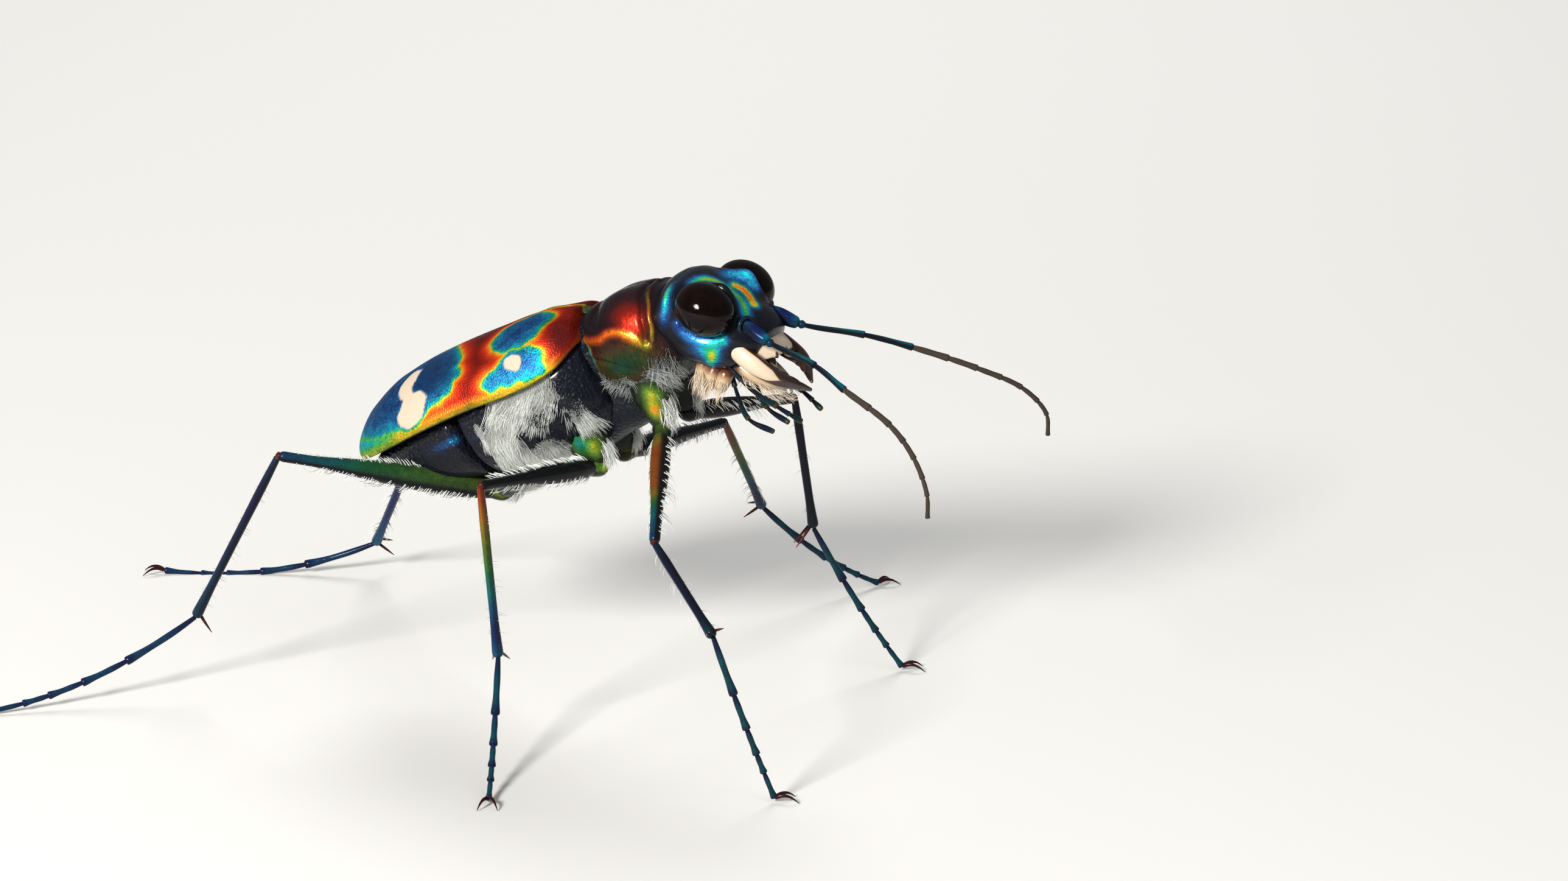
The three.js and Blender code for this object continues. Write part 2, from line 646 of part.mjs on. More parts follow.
// Bristles along the thigh and the shank: how many in each row, and at which turn round the limb.
const BRISTLES = {
  front: { femur: [6, 5], tibia: [3, 3] },
  middle: { femur: [4, 7], tibia: [4, 4] },
  hind: { femur: [9, 9], tibia: [4, 4] },
};
const FEMUR_TURNS = [75, -105]; // above and below
const TIBIA_TURNS = [10, 170]; // on either side

function femurBristles(points, hip) {
  const radius = femurRadius(LEG_SIZES[hip.name].thick);
  return BRISTLES[hip.name].femur.flatMap((count, i) => {
    const row = { turn: FEMUR_TURNS[i], count, start: 0.24, end: 0.9 };
    return bristlesOn(points.start, points.knee, radius, row);
  });
}

function tibiaBristles(points, hip) {
  return BRISTLES[hip.name].tibia.flatMap((count, i) => {
    const row = { turn: TIBIA_TURNS[i], count, start: 0.22, end: 0.82 };
    return bristlesOn(points.knee, points.ankle, tibiaRadius, row);
  });
}

const SPUR_RADIUS = 0.13;

// Two spurs at the end of the shank, on the side away from the foot.
function spurs(points) {
  const { along } = across(points.knee, points.ankle);
  const toFoot = points.foot.clone().sub(points.ankle).normalize();
  const away = toFoot.addScaledVector(along, -toFoot.dot(along)).negate().normalize();
  const beside = along.clone().cross(away);
  return [-1, 1].map((hand) => {
    const root = points.ankle.clone().addScaledVector(along, -0.25);
    const tip = points.ankle.clone().addScaledVector(along, 0.35);
    tip.addScaledVector(away, 0.5).addScaledVector(beside, 0.35 * hand);
    return spine(root, tip, SPUR_RADIUS);
  });
}

// Five tarsal joints, each widening to its end, on a path that flattens towards the floor.
const TARSUS_SHARES = [0.34, 0.21, 0.16, 0.12, 0.17];
const TARSUS_SAG = 0.14; // of its reach over the floor
const CLAW_LENGTH = 0.9;
const CLAW_RADIUS = 0.12;
const CLAW_RISE = 0.02; // of the tip above the floor
const CLAW_SPREAD = radians(26); // from the line of the foot

// A pair of claws, arched down to the floor.
function claws({ ankle, foot }) {
  const turn = Math.atan2(foot.y - ankle.y, foot.x - ankle.x);
  return [-1, 1].map((hand) => {
    const out = v3(Math.cos(turn + CLAW_SPREAD * hand), Math.sin(turn + CLAW_SPREAD * hand), 0);
    const middle = foot.clone().addScaledVector(out, 0.5 * CLAW_LENGTH).add(v3(0, 0, 0.25));
    const tip = foot.clone().addScaledVector(out, CLAW_LENGTH).setZ(CLAW_RISE);
    const curve = new THREE.QuadraticBezierCurve3(foot, middle, tip);
    return limb(curve, (t) => CLAW_RADIUS * (1 + t), { sides: 4, steps: 3, pointed: true });
  });
}

function tarsus(points) {
  const run = Math.hypot(points.foot.x - points.ankle.x, points.foot.y - points.ankle.y);
  const bend = points.ankle.clone().lerp(points.foot, 0.5);
  bend.z -= TARSUS_SAG * run;
  const curve = new THREE.QuadraticBezierCurve3(points.ankle, bend, points.foot);
  const ends = TARSUS_SHARES.map((share, i) => TARSUS_SHARES.slice(0, i).reduce((a, b) => a + b, share));
  const radius = (t) => {
    const joint = Math.max(ends.findIndex((end) => t < end - 1e-6), 0);
    const start = joint === 0 ? 0 : ends[joint - 1];
    const within = (t - start) / (ends[joint] - start);
    return lerp(0.19, 0.25, within) * lerp(1, 0.88, t);
  };
  const whole = joined(
    limb(curve, radius, { sides: 5, steps: 15 }),
    ball(points.foot, v3(1, 1, 1).multiplyScalar(FOOT_RADIUS), undefined, 8, 4),
    ...claws(points),
  );
  const ground = block(v3(-40, -40, -5), v3(40, 40, 0));
  return cut(whole, ground);
}

function makeLegs() {
  for (const hip of HIPS) {
    for (const side of SIDES) {
      const name = `${hip.name}_${side.name}`;
      const points = legPoints(hip, side);
      const { thick } = LEG_SIZES[hip.name];
      const place = frame(points.start, 0);
      const thigh = joined(femur(points, thick), ...femurBristles(points, hip));
      const shaft = cut(tibia(points), femur(points, thick, GAP));
      const shank = joined(shaft, ...tibiaBristles(points, hip), ...spurs(points));
      const trunk = [coxa(hip, side.sign, GAP), thorax(GAP), shield(GAP), abdomen(GAP)];
      add(`femur_${name}`, cut(thigh, ...trunk), FINISH.leg, place);
      add(`tibia_${name}`, shank, FINISH.leg, place);
      add(`tarsus_${name}`, cut(tarsus(points), tibia(points, GAP)), FINISH.leg, place);
    }
  }
}

makeCases();
makeTrunk();
makeHead();
makeFeelers();
makeLegs();
beetle.position.set(-ORIGIN.x, -ORIGIN.y, 0);

export default beetle;
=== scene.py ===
"""A life-size tiger beetle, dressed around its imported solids.

Sizes are millimetres in the part's frame, and each mesh is turned to metres as it's made.
"""

import logging
import math
from dataclasses import dataclass, field, replace
from enum import Enum
from typing import Any, Callable, ClassVar, Sequence

import bmesh
import bpy
import numpy as np
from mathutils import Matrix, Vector

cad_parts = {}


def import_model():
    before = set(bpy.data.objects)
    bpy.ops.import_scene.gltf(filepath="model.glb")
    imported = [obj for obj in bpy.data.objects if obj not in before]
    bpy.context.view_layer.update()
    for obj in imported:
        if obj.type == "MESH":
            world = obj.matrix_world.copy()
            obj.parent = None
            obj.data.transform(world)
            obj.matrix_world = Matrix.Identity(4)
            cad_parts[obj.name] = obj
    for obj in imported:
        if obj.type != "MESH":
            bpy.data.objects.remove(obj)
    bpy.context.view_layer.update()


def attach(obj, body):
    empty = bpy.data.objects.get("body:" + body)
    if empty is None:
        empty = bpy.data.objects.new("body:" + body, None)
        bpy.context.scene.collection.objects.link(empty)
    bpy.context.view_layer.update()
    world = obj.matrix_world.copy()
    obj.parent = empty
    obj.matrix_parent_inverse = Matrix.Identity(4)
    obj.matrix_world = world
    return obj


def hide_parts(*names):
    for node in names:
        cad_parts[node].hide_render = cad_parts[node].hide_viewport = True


Array = np.ndarray
Point = tuple[float, float, float]
Outline = tuple[tuple[float, float], ...]
Rule = Callable[[Array], Array]
Shades = Sequence[tuple[float, Point]]

MM = 0.001
BODY = "root"
UP = (0.0, 0.0, 1.0)
TURN = 2.0 * math.pi
NUDGE = 1e-3  # a small step along or round a skin
LOG = logging.getLogger("beetle")


class Side(Enum):
    """The two sides of the beetle, each with the sign of its Y."""

    RIGHT = -1
    LEFT = 1

    @property
    def word(self) -> str:
        """The side's name as the nodes carry it."""
        return self.name.lower()


def unit(vectors: Array) -> Array:
    """Vectors scaled to length one."""
    return vectors / np.maximum(np.linalg.norm(vectors, axis=-1, keepdims=True), 1e-9)


def smooth(value: Array, low: float, high: float) -> Array:
    """An even step from 0 at low to 1 at high."""
    share = np.clip((value - low) / (high - low), 0.0, 1.0)
    return share * share * (3.0 - 2.0 * share)


def dome(value: Array, power: float = 2) -> Array:
    """A rounded height, 1 where a value is 0 and 0 where it's 1."""
    return np.sqrt(np.clip(1.0 - value**power, 0.0, 1.0))


def over(under: Array, top: Any, share: Array) -> Array:
    """A value laid over another by a share from 0 to 1."""
    return under * (1 - share) + top * share


def turns(count: int) -> Array:
    """Even angles once round, as one row."""
    return np.linspace(0.0, TURN, count, endpoint=False)[None, :]


def column(count: int) -> Array:
    """Even shares from 0 to 1, as one column."""
    return np.linspace(0.0, 1.0, count)[:, None]


def paints(shape: tuple[int, ...], tone: float, glow: float) -> dict[str, Array]:
    """Even paint without cream, for a skin of rows and columns."""
    return {"tone": np.full(shape, tone), "glow": np.full(shape, glow), "cream": np.zeros(shape)}


def spread(count: int, ends: float) -> Array:
    """Shares from 0 to 1 that crowd towards both ends.

    Args:
        count: how many shares.
        ends: 1 for a full crowding as on a ball, 0 for even steps.

    Returns:
        The shares, rising.
    """
    even = np.linspace(0.0, 1.0, count)
    return ends * (1.0 - np.cos(math.pi * even)) / 2.0 + (1.0 - ends) * even


def spline(points: Sequence[Sequence[float]]) -> Rule:
    """A centripetal curve through points.

    Args:
        points: the points in order, of any dimension.

    Returns:
        A rule from a share of the way to the point there.
    """
    given = np.asarray(points, float)
    last = len(given) - 1
    padded = np.vstack([2 * given[0] - given[1], given, 2 * given[-1] - given[-2]])

    def knot(a: Array, b: Array) -> Array:
        """The length of one stretch in the curve's own measure."""
        return np.sqrt(np.linalg.norm(b - a, axis=-1))[..., None]

    def at(share: Array) -> Array:
        """The point at a share of the way.

        Args:
            share: how far from the first point to the last.

        Returns:
            The point.
        """
        place = np.clip(np.asarray(share, float), 0.0, 1.0) * last
        index = np.minimum(place.astype(int), last - 1)
        w = (place - index)[..., None]
        p0, p1, p2, p3 = (padded[index + step] for step in range(4))
        d0, d1, d2 = (np.maximum(knot(a, b), 1e-3) for a, b in ((p0, p1), (p1, p2), (p2, p3)))
        leave = ((p1 - p0) / d0 - (p2 - p0) / (d0 + d1) + (p2 - p1) / d1) * d1
        enter = ((p2 - p1) / d1 - (p3 - p1) / (d1 + d2) + (p3 - p2) / d2) * d1
        square = (-3 * p1 + 3 * p2 - 2 * leave - enter) * w**2
        return p1 + leave * w + square + (2 * p1 - 2 * p2 + leave + enter) * w**3

    return at


def rule(*values: float) -> Rule:
    """A rule that passes smoothly through evenly spaced values."""
    curve = spline(list(enumerate(values)))
    return lambda share: curve(share)[..., 1]


@dataclass(frozen=True)
class Frame:
    """A frame of one part of the body, pitched nose up by some degrees."""

    origin: Point
    pitch: float

    @property
    def axes(self) -> Array:
        """The frame's own X, Y and Z as rows."""
        c, s = math.cos(math.radians(self.pitch)), math.sin(math.radians(self.pitch))
        return np.array([[c, 0, s], [0, 1, 0], [-s, 0, c]])

    def world(self, points: Any) -> Array:
        """Points of this frame in the model's frame."""
        return np.asarray(points, float) @ self.axes + np.asarray(self.origin)

    def local(self, points: Any) -> Array:
        """Points of the model's frame in this frame."""
        return (np.asarray(points, float) - np.asarray(self.origin)) @ self.axes.T


BASE = (3.94, -2.67, 13.5)  # middle of the wing-case base
TRUNK = Frame(BASE, 28.7)
SHIELD = Frame(tuple(TRUNK.world((0.3, 0, 0.1))), 23.0)
HEAD = Frame(tuple(TRUNK.world((5.2, 0, -0.46))), -25.0)


def heading(turn: float, rise: float) -> Array:
    """A unit vector from its compass heading and its rise, both in degrees."""
    turn, rise = math.radians(turn), math.radians(rise)
    return np.array([math.cos(rise) * math.cos(turn), math.cos(rise) * math.sin(turn), math.sin(rise)])


def mirrored(point: Sequence[float], side: Side) -> Array:
    """A point given for the left side, on either side."""
    return np.array([point[0], point[1] * side.value, point[2]], float)


class Wire:
    """A shader socket that takes part in arithmetic."""

    def __init__(self, tree: bpy.types.NodeTree, socket: bpy.types.NodeSocket) -> None:
        """Wraps a socket of a tree."""
        self.tree = tree
        self.socket = socket

    def _maths(self, operation: str, first: Any, second: Any) -> "Wire":
        """A Math node on two numbers or sockets.

        Args:
            operation: what the node works out.
            first: a number or a Wire.
            second: another.

        Returns:
            Its result.
        """
        node = self.tree.nodes.new("ShaderNodeMath")
        node.operation = operation
        for socket, value in zip(node.inputs, (first, second)):
            if isinstance(value, Wire):
                self.tree.links.new(value.socket, socket)
            else:
                socket.default_value = float(value)
        return Wire(self.tree, node.outputs[0])

    def __add__(self, other: Any) -> "Wire":
        """This plus another."""
        return self._maths("ADD", self, other)

    def __radd__(self, other: Any) -> "Wire":
        """Another plus this."""
        return self._maths("ADD", other, self)

    def __sub__(self, other: Any) -> "Wire":
        """This minus another."""
        return self._maths("SUBTRACT", self, other)

    def __rsub__(self, other: Any) -> "Wire":
        """Another minus this."""
        return self._maths("SUBTRACT", other, self)

    def __mul__(self, other: Any) -> "Wire":
        """This times another."""
        return self._maths("MULTIPLY", self, other)

    def __rmul__(self, other: Any) -> "Wire":
        """Another times this."""
        return self._maths("MULTIPLY", other, self)

    def __pow__(self, other: Any) -> "Wire":
        """This to a power."""
        return self._maths("POWER", self, other)

    def beside(self, name: str) -> "Wire":
        """Another output of this one's node."""
        return Wire(self.tree, self.socket.node.outputs[name])

    def clamped(self) -> "Wire":
        """This kept between 0 and 1."""
        low = self._maths("MAXIMUM", self, 0.0)
        return low._maths("MINIMUM", low, 1.0)


class Board:
    """A node tree while it's made."""

    def __init__(self, tree: bpy.types.NodeTree) -> None:
        """Starts from an empty tree."""
        self.tree = tree
        self.tree.nodes.clear()

    def node(self, kind: str, settings: dict[str, Any], values: dict[Any, Any], output: int | str = 0) -> Wire:
        """Adds a node.

        Args:
            kind: the node's type.
            settings: what is set on the node first, with a ramp's stops under "stops".
            values: a value or a Wire for each socket, by its name or number.
            output: which of the node's outputs is wanted.

        Returns:
            That output.
        """
        made = self.tree.nodes.new(kind)
        for key, value in settings.items():
            if key == "stops":
                self._stops(made.color_ramp, value)
            else:
                setattr(made, key, value)
        for key, value in values.items():
            if isinstance(value, Wire):
                self.tree.links.new(value.socket, made.inputs[key])
            else:
                made.inputs[key].default_value = value
        return Wire(self.tree, made.outputs[output])

    @staticmethod
    def _stops(ramp: bpy.types.ColorRamp, stops: Shades) -> None:
        """Sets a ramp's stops, each a place and a colour.

        Args:
            ramp: the ramp.
            stops: a place from 0 to 1 and a colour for each.
        """
        while len(ramp.elements) < len(stops):
            ramp.elements.new(1.0)
        for element, (place, color) in zip(ramp.elements, stops):
            element.position = place
            element.color = (*color, 1.0)


class Bench(Board):
    """One material while it's made."""

    def __init__(self, name: str) -> None:
        """Starts a material with an empty tree.

        Args:
            name: the material's name.
        """
        self.material = bpy.data.materials.new(name)
        self.material.use_nodes = True
        super().__init__(self.material.node_tree)

    def painted(self, name: str) -> Wire:
        """A number painted on the mesh."""
        settings = {"attribute_type": "GEOMETRY", "attribute_name": name}
        return self.node("ShaderNodeAttribute", settings, {}, output=2)

    def place(self) -> Wire:
        """The place on the object, in metres."""
        return self.node("ShaderNodeTexCoord", {}, {}, output=3)

    def noise(self, size: float, detail: float = 2.0, stretch: Point | None = None) -> Wire:
        """Noise from 0 to 1.

        Args:
            size: about how large its spots are, in millimetres.
            detail: how many finer layers it has.
            stretch: a factor for each axis, under 1 where the spots are drawn out.

        Returns:
            The noise.
        """
        place = self.place()
        if stretch is not None:
            place = self.node("ShaderNodeVectorMath", {"operation": "MULTIPLY"}, {0: place, 1: stretch})
        values = {"Vector": place, "Scale": 1.0 / (size * MM), "Detail": detail}
        return self.node("ShaderNodeTexNoise", {}, values)

    def cells(self, size: float) -> Wire:
        """Distance in a pattern of round cells of about a size in millimetres."""
        values = {"Vector": self.place(), "Scale": 1.0 / (size * MM)}
        return self.node("ShaderNodeTexVoronoi", {"feature": "F1"}, values)

    def ramp(self, factor: Wire, stops: Shades) -> Wire:
        """A colour from a number by a ramp."""
        return self.node("ShaderNodeValToRGB", {"stops": stops}, {0: factor})

    def blend(self, factor: Wire, first: Any, second: Any) -> Wire:
        """A colour between two."""
        start, end = (value if isinstance(value, Wire) else (*value, 1.0) for value in (first, second))
        return self.node("ShaderNodeMix", {"data_type": "RGBA"}, {0: factor, 6: start, 7: end}, output=2)

    def bump(self, height: Wire, depth: float, under: Wire | None = None) -> Wire:
        """Raises the skin by a height.

        Args:
            height: from 0 to 1.
            depth: how far a height of 1 stands out, in millimetres.
            under: a bump that this one is added to.

        Returns:
            The normal for the shader.
        """
        values: dict[Any, Any] = {"Height": height, "Strength": 1.0, "Distance": depth * MM}
        if under is not None:
            values["Normal"] = under
        return self.node("ShaderNodeBump", {}, values)

    def done(self, **values: Any) -> bpy.types.Material:
        """Ends the material in a shader.

        Args:
            values: a value or a Wire for each of its sockets, with _ for a space.

        Returns:
            The material.
        """
        named = {key.replace("_", " "): value for key, value in values.items()}
        shader = self.node("ShaderNodeBsdfPrincipled", {}, named)
        end = self.tree.nodes.new("ShaderNodeOutputMaterial")
        self.tree.links.new(shader.socket, end.inputs["Surface"])
        return self.material


SHEEN: Shades = [
    (0.00, (0.012, 0.006, 0.030)),
    (0.10, (0.040, 0.020, 0.240)),
    (0.20, (0.014, 0.065, 0.260)),
    (0.29, (0.022, 0.160, 0.400)),
    (0.38, (0.006, 0.340, 0.400)),
    (0.47, (0.030, 0.360, 0.090)),
    (0.56, (0.300, 0.430, 0.030)),
    (0.64, (0.640, 0.380, 0.028)),
    (0.74, (0.820, 0.180, 0.012)),
    (0.85, (0.600, 0.028, 0.010)),
    (1.00, (0.080, 0.008, 0.005)),
]


@dataclass(frozen=True)
class Metal:
    """The iridescent skin of the beetle, coloured by the tone painted on each piece."""

    name: str
    rough: float = 0.34
    polish: float = 0.15
    metallic: float = 0.72
    grain: float = 0.10
    grain_depth: float = 0.012
    flecks: float = 0.05
    coat: float = 0.0
    coat_rough: float = 0.12
    specular: float = 0.11
    specular_tint: Point = (0.4, 0.4, 0.4)
    drift_size: float = 0.35
    fleck_size: float = 0.06
    wrinkle: Point | None = None
    dark: Point = (0.004, 0.004, 0.005)
    cream: Point = (0.40, 0.325, 0.245)

    def material(self) -> bpy.types.Material:
        """Makes the finish.

        Returns:
            The material.
        """
        bench = Bench(self.name)
        drift = bench.noise(self.drift_size, 3.0) - 0.5
        fine = bench.noise(self.fleck_size) - 0.5
        tone = bench.painted("tone") + drift * self.flecks + fine * (1.6 * self.flecks)
        # The painted glow lifts the iridescent colour out of black: on the wing cases it follows their pattern,
        # while on the head, coxae and legs it also holds painted highlights and painted shade.
        glow = bench.painted("glow") * (drift * 1.2 + fine * 1.6 + 1.0)
        if self.wrinkle is not None:
            folds = bench.noise(0.6 * self.grain, stretch=self.wrinkle) - 0.5
            glow = glow * (folds * 2.2 + 1.0)
        glow = glow.clamped()
        sheen = bench.blend(glow, self.dark, bench.ramp(tone.clamped(), SHEEN))
        cream = bench.painted("cream")
        pits = bench.bump(bench.cells(self.grain), self.grain_depth)
        normal = bench.bump(bench.noise(0.5 * self.grain), 0.5 * self.grain_depth, pits)
        if self.wrinkle is not None:
            folds = bench.noise(self.grain, 3.0, stretch=self.wrinkle)
            normal = bench.bump(folds, self.grain_depth, normal)
        patchy = bench.noise(0.2) * 0.08
        return bench.done(
            Base_Color=bench.blend(cream, sheen, self.cream),
            Metallic=(1.0 - cream) * ((glow * 2.5).clamped() * self.metallic),
            Specular_IOR_Level=self.specular,
            Specular_Tint=(*self.specular_tint, 1.0),
            Roughness=patchy + self.polish + glow * (self.rough - self.polish) + cream * 0.3,
            Coat_Weight=self.coat,
            Coat_Roughness=self.coat_rough,
            Normal=normal,
        )


@dataclass(frozen=True)
class EyeGlass:
    """The dark, glossy eye with its fine facets."""

    name: str = "eye glass"
    facet: float = 0.035
    facet_depth: float = 0.0012
    rough: float = 0.07
    ior: float = 1.24
    shades: Shades = (
        (0.3, (0.0012, 0.0006, 0.0006)),
        (0.8, (0.005, 0.0018, 0.0012)),
    )

    def material(self) -> bpy.types.Material:
        """Makes the finish.

        Returns:
            The material.
        """
        bench = Bench(self.name)
        return bench.done(
            Base_Color=bench.ramp(bench.noise(0.5), self.shades),
            Roughness=self.rough,
            IOR=self.ior,
            Normal=bench.bump(bench.cells(self.facet), self.facet_depth),
        )


@dataclass(frozen=True)
class Horn:
    """Cream horn that darkens to almost black where its paint says so."""

    name: str = "jaw horn"
    rough: float = 0.3
    coat: float = 0.35
    coat_rough: float = 0.15
    shades: Shades = (
        (0.0, (0.44, 0.35, 0.255)),
        (0.42, (0.36, 0.25, 0.14)),
        (0.6, (0.10, 0.03, 0.010)),
        (1.0, (0.008, 0.004, 0.003)),
    )

    def material(self) -> bpy.types.Material:
        """Makes the finish.

        Returns:
            The material.
        """
        bench = Bench(self.name)
        tone = (bench.painted("tone") + (bench.noise(0.25, 3.0) - 0.5) * 0.12).clamped()
        return bench.done(
            Base_Color=bench.ramp(tone, self.shades),
            Roughness=self.rough,
            Coat_Weight=self.coat,
            Coat_Roughness=self.coat_rough,
            Normal=bench.bump(bench.noise(0.12, 3.0), 0.008),
        )


@dataclass(frozen=True)
class Hair:
    """White or pale hair."""

    name: str
    root: Point = (0.26, 0.27, 0.25)
    tip: Point = (0.56, 0.58, 0.54)
    rough: float = 0.38
    coat: float = 0.15

    def material(self) -> bpy.types.Material:
        """Makes the finish.

        Returns:
            The material.
        """
        bench = Bench(self.name)
        along = (bench.painted("along") * 1.6).clamped()
        return bench.done(
            Base_Color=bench.blend(along, self.root, self.tip),
            Roughness=self.rough,
            Coat_Weight=self.coat,
        )


@dataclass
class Surface:
    """Rows and columns of points in millimetres of the model's frame, with what is painted on each.

    A row goes right round the piece, and the first and last rows close on themselves.
    """

    points: Array
    paint: dict[str, Array] = field(default_factory=dict)

    def faces(self, start: int) -> list[tuple[int, ...]]:
        """The faces between rows, for points numbered from a start.

        Args:
            start: the number of the first point.

        Returns:
            The points of each face.
        """
        rows, columns = self.points.shape[:2]
        index = start + np.arange(rows * columns).reshape(rows, columns)
        after = np.roll(index, -1, axis=1)
        quads = np.stack([index[:-1], after[:-1], after[1:], index[1:]], axis=-1)
        return [tuple(quad) for quad in quads.reshape(-1, 4).tolist()]


@dataclass(frozen=True)
class Stroke:
    """A soft swelling or hollow of a skin: where, how wide, how far it pushes, and which way if not out."""

    at: Point
    reach: Point
    push: float
    way: Point | None = None


@dataclass(frozen=True)
class Crease:
    """A line pressed into a skin, or raised with a negative depth: its points, width and depth."""

    points: Sequence[Point]
    width: float
    depth: float


@dataclass(frozen=True)
class Tint:
    """A soft patch of colour on a skin.

    It says where and how wide it is, its tone and glow, how fully it covers, and how much bluer its rim is.
    """

    at: Point
    reach: Point
    tone: float
    glow: float
    cover: float = 1.0
    fringe: float = 0.0


@dataclass(frozen=True)
class Stripe:
    """A band of colour along a line on a skin, with its tones and glows from the line's start to its end."""

    points: Sequence[Point]
    width: float
    tone: Sequence[float]
    glow: Sequence[float]
    cover: float = 1.0
    fringe: float = 0.0
    edge: float = 2.4


def both(marks: Sequence[Any]) -> list[Any]:
    """Marks of the left side, with their likes on the right.

    Args:
        marks: strokes, creases, tints or stripes.

    Returns:
        The marks, and then those of the right side.
    """
    made = list(marks)
    for mark in marks:
        if isinstance(mark, (Crease, Stripe)):
            made.append(replace(mark, points=[mirrored(point, Side.RIGHT) for point in mark.points]))
        else:
            made.append(replace(mark, at=mirrored(mark.at, Side.RIGHT)))
    return made


def drawn(points: Sequence[Point]) -> Array:
    """A smooth line through points, as short steps."""
    return spline(points)(np.linspace(0.0, 1.0, 8 * len(points)))


def near(points: Array, at: Point, reach: Point) -> Array:
    """How near points are to a place: 1 there and fading with the reach."""
    away = (points - np.asarray(at)) / np.asarray(reach)
    return np.exp(-np.sum(away * away, axis=-1))


def nearest_on_line(points: Array, line: Array, closed: bool = False) -> tuple[Array, Array]:
    """Where points are beside a bent line.

    Args:
        points: any number of points.
        line: the line's points in order.
        closed: whether the line's end joins its start.

    Returns:
        Each point's distance from the line, and its share of the line's steps.
    """
    starts = line if closed else line[:-1]
    ends = np.roll(line, -1, axis=0) if closed else line[1:]
    flat = points.reshape(-1, points.shape[-1])
    best, place = np.full(len(flat), np.inf), np.zeros(len(flat))
    for index, (a, b) in enumerate(zip(starts, ends)):
        along = b - a
        share = np.clip((flat - a) @ along / max(float(along @ along), 1e-12), 0.0, 1.0)
        away = np.linalg.norm(flat - a - share[:, None] * along, axis=1)
        place = np.where(away < best, (index + share) / len(starts), place)
        best = np.minimum(best, away)
    return best.reshape(points.shape[:-1]), place.reshape(points.shape[:-1])


def out_of(points: Array) -> Array:
    """The outward directions of a skin of rows and columns.

    Args:
        points: the skin's rows and columns.

    Returns:
        A unit vector at each point.
    """
    rows = np.gradient(points, axis=0)
    columns = np.roll(points, -1, axis=1) - np.roll(points, 1, axis=1)
    normals = unit(np.cross(columns, rows))
    outward = points - points.mean(axis=1, keepdims=True)
    return normals * np.where(np.sum(normals * outward, axis=-1).mean() < 0, -1.0, 1.0)


@dataclass(frozen=True)
class Station:
    """One cross-section of a body: its place, the height of its widest line and its reach from there."""

    x: float
    z: float
    width: float
    up: float
    down: float


@dataclass
class Skin:
    """A closed skin through cross-sections, each a superellipse, rounded off at both ends."""

    frame: Frame
    stations: Sequence[Station]
    square: float = 2.2
    round: float = 0.1
    swell: float = 0.0
    crowd: float = 0.85

    def __post_init__(self) -> None:
        """Prepares the curves through the cross-sections."""
        last = len(self.stations) - 1
        forward = math.copysign(1.0, self.stations[last].x - self.stations[0].x)
        shift = [0.0] * (last + 1)
        shift[0], shift[last] = -forward * self.swell, forward * self.swell
        self._middle = spline([(s.x + d, s.z, s.width + self.swell) for s, d in zip(self.stations, shift)])
        self._reach = spline([(s.up + self.swell, s.down + self.swell) for s in self.stations])

    def local(self, share: Array, angle: Array) -> Array:
        """Points of the skin in its own frame.

        Args:
            share: how far along the body.
            angle: how far round it, 0 on top and growing to the left.

        Returns:
            The points.
        """
        share, angle = np.broadcast_arrays(np.asarray(share, float), np.asarray(angle, float))
        end = np.minimum(share, 1.0 - share) / self.round
        taper = np.where(end < 1.0, dome(1.0 - end), 1.0)
        power = lambda value: np.sign(value) * np.abs(value) ** (2.0 / self.square)
        middle, reach = self._middle(share), self._reach(share)
        rise = power(np.cos(angle))
        tall = np.where(rise > 0, reach[..., 0], reach[..., 1])
        x, z, wide = middle[..., 0], middle[..., 1], middle[..., 2]
        return np.stack([x, wide * taper * power(np.sin(angle)), z + tall * taper * rise], axis=-1)

    def world(self, share: Array, angle: Array) -> Array:
        """Points of the skin in the model's frame."""
        return self.frame.world(self.local(share, angle))

    def grid(self, rows: int, columns: int) -> Array:
        """The skin as rows and columns in its own frame, closed at both ends."""
        return self.local(spread(rows, self.crowd)[:, None], turns(columns))

    def sculpt(self, rows: int, columns: int, tone: float, glow: float) -> "Sculpt":
        """The skin ready for its creases and colours, in one tone and glow."""
        return Sculpt(self.frame, self.grid(rows, columns), tone, glow)


